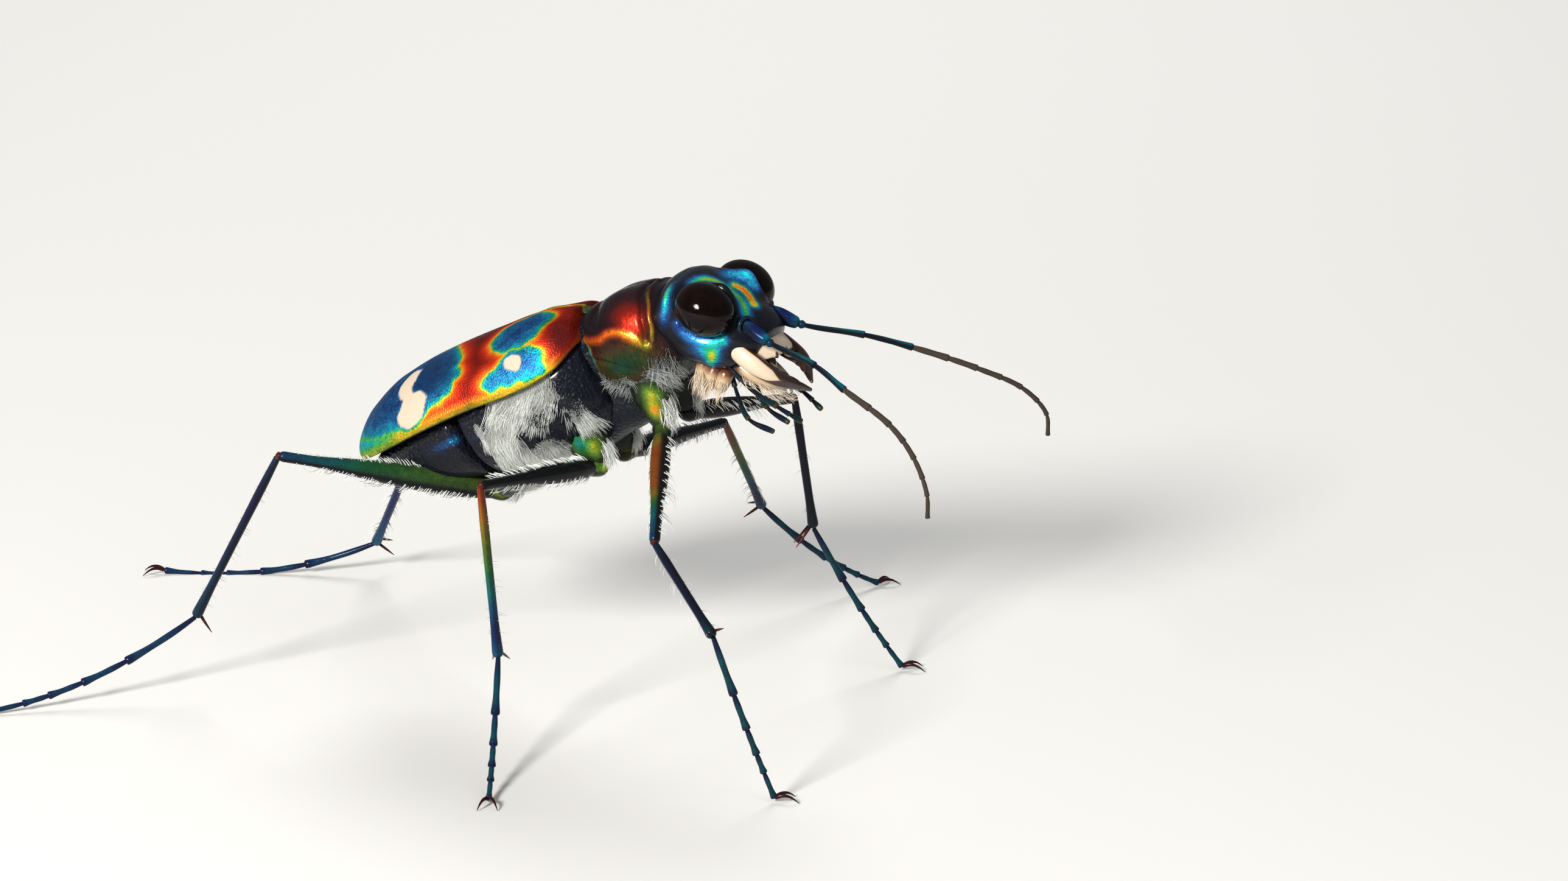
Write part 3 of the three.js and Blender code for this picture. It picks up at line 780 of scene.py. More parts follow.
@dataclass
class Sculpt:
    """A skin with swellings, creases and colour, made in its own frame."""

    frame: Frame
    points: Array
    tone: float
    glow: float

    def __post_init__(self) -> None:
        """Starts with one tone all over."""
        self.paint = paints(self.points.shape[:2], self.tone, self.glow)

    def press(self, marks: Sequence[Stroke | Crease]) -> "Sculpt":
        """Pushes the skin out or in at each mark.

        Args:
            marks: strokes and creases.

        Returns:
            The sculpt itself.
        """
        for mark in marks:
            way = out_of(self.points)
            if isinstance(mark, Stroke):
                push = mark.push * near(self.points, mark.at, mark.reach)
                way = way if mark.way is None else np.asarray(mark.way)
            else:
                away, _ = nearest_on_line(self.points, drawn(mark.points))
                push = -mark.depth * np.exp(-((away / mark.width) ** 2))
            self.points = self.points + way * push[..., None]
        return self

    def tint(self, tints: Sequence[Tint | Stripe]) -> "Sculpt":
        """Lays each tint over what is painted.

        Args:
            tints: patches and bands of colour, in order.

        Returns:
            The sculpt itself.
        """
        for tint in tints:
            if isinstance(tint, Stripe):
                away, along = nearest_on_line(self.points, drawn(tint.points))
                shape = np.exp(-((away / tint.width) ** tint.edge))
                tone, glow = rule(*tint.tone)(along), rule(*tint.glow)(along)
            else:
                shape, tone, glow = near(self.points, tint.at, tint.reach), tint.tone, tint.glow
            cover = tint.cover * shape
            if tint.fringe:
                tone = tone - tint.fringe * (1.0 - shape)
                glow = glow * (1.0 + 0.5 * (1.0 - shape))
            self.paint["tone"] = over(self.paint["tone"], tone, cover)
            self.paint["glow"] = over(self.paint["glow"], glow, cover)
        return self

    def surface(self) -> Surface:
        """The finished skin in the model's frame."""
        return Surface(self.frame.world(self.points), self.paint)


@dataclass
class Rod:
    """A limb along a path in the model's frame, round or flattened, with rounded ends."""

    CAP_ROWS: ClassVar[int] = 7
    # The cosines between which the painted shade on a limb's far side starts and is full.
    SHADOW: ClassVar[tuple[float, float]] = (-0.98, -0.45)  # where its far side starts to dull and ends
    path: Rule
    radius: Rule
    flat: float = 1.0
    blunt: float = 1.0

    def __post_init__(self) -> None:
        """Measures the path."""
        steps = self.path(np.linspace(0.0, 1.0, 33))
        self.length = float(np.linalg.norm(np.diff(steps, axis=0), axis=1).sum())

    def axes(self, share: Array) -> tuple[Array, Array, Array]:
        """The directions of the path.

        Args:
            share: how far along.

        Returns:
            The path's direction, its level side and its upright side there.
        """
        ahead = unit(self.path(np.minimum(share + NUDGE, 1.0)) - self.path(np.maximum(share - NUDGE, 0.0)))
        level = unit(np.cross(ahead, np.asarray(UP)))
        return ahead, level, np.cross(level, ahead)

    def facing(self, direction: Sequence[float]) -> float:
        """The angle round the limb's middle that faces a direction."""
        _, level, upright = self.axes(np.array(0.5))
        return math.atan2(float(upright @ np.asarray(direction)), float(level @ np.asarray(direction)))

    def world(self, share: Array, angle: Array) -> Array:
        """Points on the limb.

        Args:
            share: how far along.
            angle: how far round, from the level side towards the upright side.

        Returns:
            The points.
        """
        share, angle = np.broadcast_arrays(np.asarray(share, float), np.asarray(angle, float))
        _, level, upright = self.axes(share)
        wide = self.radius(share)
        from_end = np.minimum(share, 1.0 - share) * self.length
        room = np.maximum(wide * self.blunt, 1e-6)
        wide = wide * np.where(from_end < room, dome(1.0 - from_end / room), 1.0)
        side = level * (wide * self.flat * np.cos(angle))[..., None]
        return self.path(share) + side + upright * (wide * np.sin(angle))[..., None]

    def surface(
        self, rows: int, columns: int, tone: Rule, glow: Rule | None = None, shade: float = 0.0,
        toward: Sequence[float] = UP,
    ) -> Surface:
        """The limb as rows and columns.

        Args:
            rows: how many along.
            columns: how many round.
            tone: the tone at each share of the length.
            glow: the glow there, or full.
            shade: how much the painted shade darkens the sides turned away from the light, to 1.
            toward: the direction of the side painted as lit.

        Returns:
            The surface, painted.
        """
        tip = min(0.5, self.blunt * float(self.radius(np.array(0.5))) / self.length)
        ends = tip * (1.0 - np.cos(np.linspace(0.0, math.pi / 2, self.CAP_ROWS)))
        share = np.concatenate([ends[:-1], np.linspace(tip, 1.0 - tip, rows), 1.0 - ends[-2::-1]])[:, None]
        angle = turns(columns)
        points = self.world(share, angle)
        shape = points.shape[:2]
        glow_and_shade = np.ones(shape) if glow is None else np.broadcast_to(glow(share), shape)
        # Painted shade: the glow dims on the sides turned away from the lit direction.
        glow_and_shade = glow_and_shade * (1.0 - shade * smooth(-np.cos(angle - self.facing(toward)), *self.SHADOW))
        paint = {"tone": np.broadcast_to(tone(share), shape), "glow": glow_and_shade, "cream": np.zeros(shape)}
        return Surface(points, paint)


def straight(start: Array, end: Array) -> Rule:
    """A straight path."""
    start, end = np.asarray(start, float), np.asarray(end, float)
    return lambda share: start + np.asarray(share)[..., None] * (end - start)


def bent(start: Array, middle: Array, end: Array) -> Rule:
    """A path bent towards its middle point.

    Args:
        start: where it starts.
        middle: the point it bends towards.
        end: where it ends.

    Returns:
        The path.
    """

    def at(share: Array) -> Array:
        """The point at a share of the way."""
        w = np.asarray(share, float)[..., None]
        return start * (1 - w) ** 2 + middle * 2 * w * (1 - w) + end * w**2

    return at


def stops(*pairs: tuple[float, float]) -> Rule:
    """A rule with straight stretches between given places and values."""
    places, values = zip(*pairs)
    return lambda share: np.interp(share, places, values)


def fade(first: float, last: float) -> Rule:
    """A rule that runs evenly from one value to another."""
    return stops((0, first), (1, last))


def always(value: float) -> Rule:
    """A rule with one value everywhere."""
    return lambda share: 0.0 * share + value


def part_of(path: Rule, start: float, end: float) -> Rule:
    """A stretch of a path as a path of its own."""
    return lambda share: path(start + (end - start) * share)


def laid(frame: Frame, points: Sequence[Point], side: Side) -> Rule:
    """A smooth path through points given for the left of a frame, on either side."""
    curve = spline([mirrored(point, side) for point in points])
    return lambda share: frame.world(curve(share))


class Workshop:
    """Makes pieces of the model, each an object that rides on the body."""

    WELD = 1e-4
    SLIVER = 1e-5

    def __init__(self) -> None:
        """Starts with no materials."""
        self._materials: dict[str, bpy.types.Material] = {}
        self.names: list[str] = []

    def material(self, finish: Any) -> bpy.types.Material:
        """The material of a finish, made once.

        Args:
            finish: the finish.

        Returns:
            Its material.
        """
        if finish.name not in self._materials:
            self._materials[finish.name] = finish.material()
        return self._materials[finish.name]

    def piece(self, name: str, surfaces: Sequence[Surface], finish: Any, slot: str, nodes: Sequence[str]) -> None:
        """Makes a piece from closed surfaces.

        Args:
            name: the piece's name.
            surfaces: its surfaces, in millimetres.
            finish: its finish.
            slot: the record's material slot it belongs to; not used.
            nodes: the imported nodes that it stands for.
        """
        start = 0
        faces: list[tuple[int, ...]] = []
        for surface in surfaces:
            faces += surface.faces(start)
            start += surface.points.shape[0] * surface.points.shape[1]
        mesh = bpy.data.meshes.new(name)
        points = np.concatenate([surface.points.reshape(-1, 3) for surface in surfaces]) * MM
        mesh.from_pydata(points.tolist(), [], faces)
        for key in surfaces[0].paint:
            values = np.concatenate([surface.paint[key].reshape(-1) for surface in surfaces])
            mesh.attributes.new(key, "FLOAT", "POINT").data.foreach_set("value", values.astype(np.float32))
        self._mend(mesh)
        mesh.materials.append(self.material(finish))
        self._place(bpy.data.objects.new(name, mesh), slot, nodes)

    @classmethod
    def _mend(cls, mesh: bpy.types.Mesh) -> None:
        """Closes the poles and seams of a mesh and turns its faces out.

        Args:
            mesh: the mesh, which is changed.
        """
        work = bmesh.new()
        work.from_mesh(mesh)
        bmesh.ops.remove_doubles(work, verts=work.verts, dist=cls.WELD * MM)
        bmesh.ops.dissolve_degenerate(work, edges=work.edges, dist=cls.SLIVER * MM)
        bmesh.ops.recalc_face_normals(work, faces=work.faces)
        work.to_mesh(mesh)
        work.free()
        mesh.polygons.foreach_set("use_smooth", [True] * len(mesh.polygons))
        mesh.update()

    def _place(self, made: bpy.types.Object, slot: str, nodes: Sequence[str]) -> None:
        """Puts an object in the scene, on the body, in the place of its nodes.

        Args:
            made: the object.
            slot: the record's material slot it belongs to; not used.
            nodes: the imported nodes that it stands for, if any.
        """
        bpy.context.scene.collection.objects.link(made)
        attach(made, BODY)
        if nodes:
            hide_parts(*nodes)
        self.names.append(made.name)
        LOG.info("%s: %d faces", made.name, len(made.data.polygons))

    def coat(self, name: str, patches: Sequence["Patch"], finish: Hair, slot: str) -> None:
        """Grows the hair of some patches as one piece.

        Args:
            name: the piece's name.
            patches: where the hair stands.
            finish: its finish.
            slot: the record's material slot it belongs to; not used.
        """
        grown = [patch.grow(self.material(finish)) for patch in patches]
        meshes = [mesh for mesh in grown if len(mesh.polygons)]
        work = bmesh.new()
        for mesh in meshes:
            work.from_mesh(mesh)
        joined = bpy.data.meshes.new(name)
        work.to_mesh(joined)
        work.free()
        for mesh in grown:
            bpy.data.meshes.remove(mesh)
        joined.materials.append(self.material(finish))
        self._place(bpy.data.objects.new(name, joined), slot, ())


@dataclass(frozen=True)
class Lie:
    """How the hair of a patch stands: along and round its skin, and how it bends."""

    along: float
    round: float
    rise: float
    droop: float


@dataclass(frozen=True)
class Patch:
    """A patch of hair on a skin or limb, by share of length and angle round it."""

    GROUND: ClassVar[int] = 28
    SWIRL: ClassVar[float] = 0.3
    DRAFT: ClassVar[float] = 0.4
    UV_SIZE: ClassVar[float] = 0.003
    skin: Any
    shares: tuple[float, float]
    angles: tuple[float, float]
    lie: Lie
    length: float
    thick: float
    density: float
    seed: int
    soft: float = 0.15
    sway: float = 0.25

    def _ground(self) -> bpy.types.Mesh:
        """The patch of skin that the hair grows on.

        Returns:
            A mesh with how thickly the hair stands, how it lies and its place on the skin.
        """
        count = self.GROUND
        steps = np.linspace(*self.shares, count), np.linspace(*self.angles, count)
        share, angle = np.meshgrid(*steps, indexing="ij")
        points = self.skin.world(share, angle)
        by_share = (self.skin.world(share + NUDGE, angle) - points) / NUDGE
        by_angle = (self.skin.world(share, angle + NUDGE) - points) / NUDGE
        wave = np.sin(31.0 * share + 4.0 * angle) * np.cos(9.0 * angle - 7.0 * share)
        swirl = (self.SWIRL * wave)[..., None]
        along, aside = self.lie.along + swirl * self.lie.round, self.lie.round - swirl * self.lie.along
        lie = unit(unit(by_share) * along + unit(by_angle) * aside)
        middle = self.skin.world(share, angle + math.pi)
        flipped = float(np.sum(np.cross(by_share, by_angle) * (points - middle), axis=-1).mean()) < 0
        index = np.arange(count * count).reshape(count, count)
        quads = np.stack([index[:-1, :-1], index[1:, :-1], index[1:, 1:], index[:-1, 1:]], axis=-1).reshape(-1, 4)
        mesh = bpy.data.meshes.new("ground")
        mesh.from_pydata((points.reshape(-1, 3) * MM).tolist(), [], (quads[:, ::-1] if flipped else quads).tolist())
        root = np.stack([(angle / TURN) % 1.0, share, np.zeros_like(share)], axis=-1)
        cover = mesh.attributes.new("cover", "FLOAT", "POINT")
        cover.data.foreach_set("value", self._cover(count).astype(np.float32).reshape(-1))
        for key, values in (("lie", lie), ("root", root)):
            layer = mesh.attributes.new(key, "FLOAT_VECTOR", "POINT")
            layer.data.foreach_set("vector", values.astype(np.float32).reshape(-1))
        return mesh

    def _cover(self, count: int) -> Array:
        """How thickly the hair stands, thinning out raggedly at the patch's edge.

        Args:
            count: the points of the patch each way.

        Returns:
            A share from 0 to 1 at each point.
        """
        inset = np.linspace(0.0, 1.0, count)
        fade = np.minimum(inset, 1.0 - inset) / max(self.soft, 1e-3)
        ragged = 0.5 * np.sin(13.0 * inset[:, None] + 2.0) * np.sin(17.0 * inset[None, :] + self.seed)
        return smooth(np.minimum(fade[:, None], fade[None, :]) + ragged, 0.25, 0.9)

    def grow(self, material: bpy.types.Material) -> bpy.types.Mesh:
        """Grows the hair.

        Args:
            material: what the hair is made of.

        Returns:
            The hair as one plain mesh.
        """
        holder = bpy.data.objects.new("ground", self._ground())
        bpy.context.scene.collection.objects.link(holder)
        modifier = holder.modifiers.new("hair", "NODES")
        modifier.node_group = HairTree.shared()
        inputs = {
            "Density": self.density / MM**2 * 1.0,
            "Length": self.length * MM,
            "Thickness": self.thick * MM,
            "Rise": self.lie.rise,
            "Droop": self.lie.droop,
            "Sway": self.sway,
            "Seed": self.seed,
            "Material": material,
        }
        HairTree.give(modifier, inputs)
        seen = holder.evaluated_get(bpy.context.evaluated_depsgraph_get())
        mesh = bpy.data.meshes.new_from_object(seen)
        holder.modifiers.clear()
        ground = holder.data
        bpy.data.objects.remove(holder)
        bpy.data.meshes.remove(ground)
        self._unwrap(mesh)
        return mesh

    @classmethod
    def _unwrap(cls, mesh: bpy.types.Mesh) -> None:
        """Gives each hair its small patch at its root's place on the unwrapped skin.

        Args:
            mesh: the hair, which is changed.
        """
        count = len(mesh.vertices)
        if count == 0:
            return
        root = np.zeros(count * 3, np.float32)
        along, around = np.zeros(count, np.float32), np.zeros(count, np.float32)
        mesh.attributes["root"].data.foreach_get("vector", root)
        mesh.attributes["along"].data.foreach_get("value", along)
        mesh.attributes["around"].data.foreach_get("value", around)
        uv = root.reshape(-1, 3)[:, :2] + cls.UV_SIZE * (np.stack([around, along], axis=1) - 0.5)
        corners = np.zeros(len(mesh.loops), np.int32)
        mesh.loops.foreach_get("vertex_index", corners)
        layer = mesh.uv_layers.new(name="OFBake")
        layer.data.foreach_set("uv", np.clip(uv[corners], 0.0, 1.0).reshape(-1))


class HairTree(Board):
    """The tree that grows hair on a patch of skin."""

    STEPS = 4
    SIDES = 3
    ROOT = -0.06  # how far a hair's root lies under the skin, of its length
    SIZES = (0.7, 1.2)
    SOCKETS = {
        **dict.fromkeys(("Density", "Length", "Thickness", "Rise", "Droop", "Sway"), "Float"),
        "Seed": "Int",
        "Material": "Material",
    }
    _made: bpy.types.NodeTree | None = None

    @classmethod
    def shared(cls) -> bpy.types.NodeTree:
        """Builds the tree on first use.

        Returns:
            The tree.
        """
        if cls._made is None:
            cls._made = cls(bpy.data.node_groups.new("hair", "GeometryNodeTree"))._build()
        return cls._made

    @staticmethod
    def give(modifier: bpy.types.NodesModifier, inputs: dict[str, Any]) -> None:
        """Sets a modifier's inputs by their sockets' identifiers.

        Args:
            modifier: the modifier.
            inputs: a value for each of its sockets, by name.
        """
        for item in modifier.node_group.interface.items_tree:
            if item.item_type == "SOCKET" and item.in_out == "INPUT" and item.name in inputs:
                modifier[item.identifier] = inputs[item.name]

    def _vector(self, x: Any, y: Any, z: Any) -> Wire:
        """A vector from three numbers."""
        return self.node("ShaderNodeCombineXYZ", {}, {0: x, 1: y, 2: z})

    def _named(self, name: str, kind: str) -> Wire:
        """An attribute of the patch."""
        return self.node("GeometryNodeInputNamedAttribute", {"data_type": kind}, {"Name": name})

    def _stored(self, geometry: Wire, name: str, value: Wire) -> Wire:
        """A number kept on each point."""
        values = {"Geometry": geometry, "Name": name, "Value": value}
        return self.node("GeometryNodeStoreNamedAttribute", {}, values)

    def _hair(self, given: dict[str, Wire]) -> Wire:
        """One hair that lies along X and rises from its root.

        Args:
            given: the tree's inputs.

        Returns:
            The hair's mesh.
        """
        length, rise = given["Length"], given["Rise"]
        bend = {
            "Resolution": self.STEPS,
            "Start": self._vector(0.0, 0.0, length * self.ROOT),
            "Middle": self._vector(length * 0.5, 0.0, length * rise),
            "End": self._vector(length, 0.0, length * (rise - given["Droop"])),
        }
        curve = self.node("GeometryNodeCurveQuadraticBezier", {}, bend)
        share = self.node("GeometryNodeSplineParameter", {}, {}, "Factor")
        ring = self.node("GeometryNodeCurvePrimitiveCircle", {}, {"Resolution": self.SIDES, "Radius": 1.0})
        values = {
            "Curve": self._stored(curve, "along", share),
            "Profile Curve": self._stored(ring, "around", share),
            "Scale": (1.04 - share) ** 0.6 * (given["Thickness"] * 0.5),
            "Fill Caps": True,
        }
        return self.node("GeometryNodeCurveToMesh", {}, values)

    def _build(self) -> bpy.types.NodeTree:
        """Builds the tree, from points on the patch to real hairs.

        Returns:
            The tree.
        """
        face = self.tree.interface
        face.new_socket("Geometry", in_out="OUTPUT", socket_type="NodeSocketGeometry")
        face.new_socket("Geometry", in_out="INPUT", socket_type="NodeSocketGeometry")
        for name, kind in self.SOCKETS.items():
            face.new_socket(name, in_out="INPUT", socket_type=f"NodeSocket{kind}")
        inputs = self.tree.nodes.new("NodeGroupInput").outputs
        given = {name: Wire(self.tree, inputs[name]) for name in ("Geometry", *self.SOCKETS)}
        seed, sway = given["Seed"], given["Sway"]
        density = given["Density"] * self._named("cover", "FLOAT")
        values = {"Mesh": given["Geometry"], "Density": density, "Seed": seed}
        spots = self.node("GeometryNodeDistributePointsOnFaces", {}, values, "Points")
        axes = {"Primary Axis": spots.beside("Normal"), "Secondary Axis": self._named("lie", "FLOAT_VECTOR")}
        stand = self.node("FunctionNodeAxesToRotation", {"primary_axis": "Z", "secondary_axis": "X"}, axes)
        low = sway * -1.0
        tilt = {"Min": self._vector(0.0, low, low), "Max": self._vector(0.0, sway, sway), "Seed": seed}
        jitter = self.node("FunctionNodeRandomValue", {"data_type": "FLOAT_VECTOR"}, tilt)
        turn = self.node("FunctionNodeEulerToRotation", {}, {0: jitter})
        scatter = {2: self.SIZES[0], 3: self.SIZES[1], "Seed": seed}
        values = {
            "Points": spots,
            "Instance": self._hair(given),
            "Rotation": self.node("FunctionNodeRotateRotation", {"rotation_space": "LOCAL"}, {0: stand, 1: turn}),
            "Scale": self.node("FunctionNodeRandomValue", {"data_type": "FLOAT"}, scatter, 1),
        }
        grown = self.node("GeometryNodeInstanceOnPoints", {}, values)
        real = self.node("GeometryNodeRealizeInstances", {}, {0: grown})
        values = {"Geometry": real, "Material": given["Material"]}
        dressed = self.node("GeometryNodeSetMaterial", {}, values)
        end = self.tree.nodes.new("NodeGroupOutput")
        self.tree.links.new(dressed.socket, end.inputs[0])
        return self.tree


def stations(*rows: tuple[float, float, float, float, float]) -> list[Station]:
    """Cross-sections from rows of place, height, half-width and reach up and down."""
    return [Station(*row) for row in rows]


CASE = stations(
    (0, 0.35, 1.3, 0.95, 0.12),
    (-0.3, 0.12, 2.0, 1.3, 0.14),
    (-0.8, -0.15, 2.5, 1.68, 0.16),
    (-1.6, -0.3, 2.85, 2.0, 0.18),
    (-2.9, -0.3, 3.1, 2.08, 0.18),
    (-4.5, -0.2, 3.2, 2.05, 0.18),
    (-6.2, -0.18, 3.3, 2.05, 0.18),
    (-7.8, -0.25, 3.05, 1.97, 0.17),
    (-9.2, -0.3, 2.4, 1.55, 0.16),
    (-10.2, -0.3, 1.5, 0.9, 0.14),
    (-10.7, -0.28, 0.75, 0.36, 0.1),
)
NECK = stations(
    (1.1, -0.35, 1.2, 1.22, 1.4),
    (0.5, -0.35, 1.3, 1.34, 1.5),
    (-0.2, -0.35, 1.4, 1.38, 1.6),
    (-0.9, -0.4, 1.5, 1.36, 1.7),
)
BREAST = stations(
    (1.5, -1.9, 0.45, 0.8, 0.9),
    (0.9, -1.95, 0.75, 0.9, 1.25),
    (0.1, -2.0, 0.95, 0.9, 1.4),
    (-0.7, -2.0, 1.0, 0.9, 1.45),
    (-1.5, -2.1, 0.95, 0.9, 1.5),
    (-2.3, -2.2, 0.8, 0.9, 1.3),
)
THORAX_BELLY = stations(
    (-0.05, -0.65, 1.5, 1.1, 1.65),
    (-0.7, -0.75, 2.15, 1.4, 2.15),
    (-2, -0.85, 2.62, 1.5, 2.4),
    (-3.8, -0.85, 2.9, 1.5, 2.35),
    (-5.5, -0.8, 2.92, 1.5, 2.2),
)
ABDOMEN_BELLY = stations(
    (-5, -0.8, 2.9, 1.5, 2.15),
    (-7.2, -0.85, 2.76, 1.3, 1.75),
    (-9, -0.85, 2.1, 0.8, 1.2),
    (-10, -0.8, 1.3, 0.35, 0.8),
    (-10.4, -0.8, 0.65, 0.25, 0.5),
)
SHIELD_SIDES = stations(
    (-0.25, -0.3, 1.45, 1.3, 1.5),
    (0.15, -0.35, 1.65, 1.42, 1.85),
    (1.3, -0.45, 1.95, 1.7, 2.2),
    (2.3, -0.4, 1.89, 1.6, 1.95),
    (2.75, -0.35, 1.68, 1.4, 1.6),
    (3.1, -0.3, 1.5, 1.25, 1.35),
)
SKULL = stations(
    (-2.05, -0.9, 1.4, 0.8, 0.95),
    (-1.35, -0.9, 1.85, 1.1, 1.5),
    (-0.5, -0.95, 1.78, 1.32, 1.75),
    (0.4, -1, 1.7, 1.42, 1.55),
    (1.2, -0.95, 1.55, 1.3, 1.35),
    (1.9, -0.8, 1.3, 0.9, 0.95),
    (2.25, -0.7, 1, 0.55, 0.5),
)


def growth(skin: Skin, side: Side, rows: Sequence[tuple], thick: float, soft: float, sway: float) -> list[Patch]:
    """Patches of hair on one side of a skin.

    Args:
        skin: the skin.
        side: which side of it.
        rows: for each patch its shares, its angles on the left, its lie, length, density and seed.
        thick: how thick the hair is.
        soft: how wide the patches' edges thin out.
        sway: how unevenly the hair stands.

    Returns:
        The patches.
    """
    made = []
    for shares, angles, lie, length, density, seed in rows:
        angles, lie = tuple(side.value * angle for angle in angles), replace(lie, round=side.value * lie.round)
        made.append(Patch(skin, shares, angles, lie, length, thick, density, seed, soft, sway))
    return made


@dataclass
class WingCases:
    """The two wing cases: thin domed shells with blue islands in red, edged with green and gold."""

    wall: float = 0.2
    seam: float = 0.02
    rows: int = 300
    across: int = 118
    inner: int = 14
    hem: float = 1.9
    square: float = 2.1
    round: float = 0.06
    bead_angle: float = 1.5
    bead_width: float = 0.05
    bead_rise: float = 0.04
    groove: float = 0.07
    humps: tuple[Stroke, ...] = (
        Stroke((-0.95, 2.0, 1.0), (0.6, 0.55, 0.7), 0.10),
        Stroke((-0.9, 0.9, 1.5), (0.6, 0.45, 0.6), -0.07),
        Stroke((-0.2, 0.0, 1.4), (0.4, 0.4, 0.6), -0.08),
    )
    islands: tuple[Outline, ...] = (
        (
            (-3.1, 1.85), (-3.0, 1.4), (-2.8, 0.8), (-2.4, 0.5), (-2.0, 0.3), (-1.4, 0.45), (-0.8, 0.85),
            (-0.7, 1.33), (-0.9, 1.58), (-1.0, 1.91), (-1.3, 2.25), (-1.7, 2.4), (-2.0, 2.45), (-2.6, 2.45),
            (-2.9, 2.2),
        ),
        (
            (-2.25, 2.6), (-1.7, 2.6), (-1.3, 2.65), (-1.0, 2.75), (-1.1, 3.1), (-1.1, 3.5), (-1.5, 3.68),
            (-2.1, 3.75), (-2.7, 3.8), (-3.2, 3.8), (-3.4, 3.6), (-3.3, 3.4), (-3.0, 3.25), (-2.65, 3.05),
        ),
        (
            (-5.4, 0.25), (-4.75, 1.3), (-4.4, 2.0), (-4.45, 2.4), (-4.3, 2.75), (-4.6, 3.0), (-4.7, 3.25),
            (-5.0, 3.45), (-5.4, 3.6), (-6.2, 3.8), (-7.1, 3.75), (-7.9, 3.5), (-8.7, 3.0), (-9.5, 2.1),
            (-10.3, 1.0), (-10.6, 0.3), (-10.3, 0.08), (-9.0, 0.1), (-7.5, 0.12), (-6.2, 0.15),
        ),
    )
    spots: tuple[Outline, ...] = (
        (
            (-2.1, 2.7), (-1.8, 2.9), (-1.8, 3.15), (-2.0, 3.33), (-2.3, 3.3), (-2.45, 3.05), (-2.35, 2.8),
        ),
        (
            (-6.3, 1.5), (-6.75, 1.3), (-7.1, 1.7), (-7.15, 2.35), (-7.0, 2.7), (-6.85, 2.9), (-6.95, 3.15),
            (-7.15, 3.4), (-7.1, 3.75), (-6.85, 3.98), (-6.5, 4.02), (-6.15, 3.95), (-5.9, 3.65), (-5.72, 3.3),
            (-5.85, 3.0), (-6.35, 2.75), (-6.45, 2.5), (-6.35, 2.1),
        ),
    )
    finish: Metal = Metal(
        "wing case skin", rough=0.52, polish=0.3, metallic=0.66, grain=0.065, grain_depth=0.013, flecks=0.14
    )

    @staticmethod
    def _outside(places: Array, outline: Outline) -> Array:
        """How far places are outside a closed outline.

        Args:
            places: places on the case, each ahead of its base and round from its seam.
            outline: the outline's points in order.

        Returns:
            The distance, negative inside.
        """
        line = spline([*outline, outline[0]])(np.linspace(0.0, 1.0, 6 * len(outline) + 1))[:-1]
        away, _ = nearest_on_line(places, line, closed=True)
        x, y = places[..., 0], places[..., 1]
        inside = np.zeros(x.shape, bool)
        for (ax, ay), (bx, by) in zip(line, np.roll(line, -1, axis=0)):
            if ay != by:
                inside ^= ((ay > y) != (by > y)) & (x < (bx - ax) * (y - ay) / (by - ay) + ax)
        return np.where(inside, -away, away)

    def _paint(self, points: Array) -> dict[str, Array]:
        """The pattern on the outer skin of a case.

        Args:
            points: its rows and columns in the trunk's frame, from the seam to the hem.

        Returns:
            The paint.
        """
        steps = np.linalg.norm(np.diff(points, axis=1), axis=2)
        arc = np.concatenate([np.zeros((len(points), 1)), np.cumsum(steps, axis=1)], axis=1)
        edge = arc[:, [int(self.across * (math.pi / 2) / self.hem)]]
        x = points[..., 0]
        ripple = 0.05 * np.sin(9.0 * x + 2.0 * arc) * np.sin(7.0 * arc)
        places = np.stack([x, arc + ripple], axis=-1)
        away = np.min([self._outside(places, outline) for outline in self.islands], axis=0)
        steps_out = (-0.9, -0.35, -0.06, 0.03, 0.08, 0.15, 0.28, 0.5, 0.9)
        tone = np.interp(away, steps_out, (0.23, 0.28, 0.34, 0.47, 0.61, 0.74, 0.83, 0.89, 0.95))
        glow = np.interp(away, (-0.8, -0.1, 0.1, 0.5, 1.0), (0.50, 0.62, 0.92, 0.58, 0.30))
        rim = edge - arc
        warm = np.interp(rim, (0.0, 0.2, 0.6), (0.60, 0.70, 1.0))
        tone = np.where(away > 0.0, np.minimum(tone, warm), tone)
        apex = smooth(-x, 6.2, 8.4) * smooth(away, 0.0, 0.15)
        tone = over(tone, np.minimum(tone, np.interp(rim, (0.1, 0.45), (0.56, 0.36))), apex)
        middle = 1.0 - smooth(arc, 0.06, 0.2)
        tone = over(tone, np.where(x < -2.2, 0.93, 0.56), middle)
        glow = over(glow, np.where(x < -2.2, 0.30, 0.7), middle)
        shoulder = near(places, (-0.45, 1.9), (0.45, 1.3))
        tone = over(tone, 0.93, shoulder)
        glow = glow * (1 - 0.65 * shoulder)
        dusk = near(places, (-5.35, 2.2), (0.8, 1.0)) * smooth(-away, 0.0, 0.3)
        glow = glow * (1 - 0.6 * dusk)
        glow = glow * (1 - 0.8 * (1.0 - smooth(arc, 0.0, 0.05)))
        pale = np.min([self._outside(places, outline) for outline in self.spots], axis=0)
        cream = 1.0 - smooth(pale, -0.03, 0.03)
        tone = over(tone, 0.30, 0.7 * (1.0 - smooth(pale, 0.0, 0.18)))
        return {"tone": tone, "glow": glow, "cream": cream}

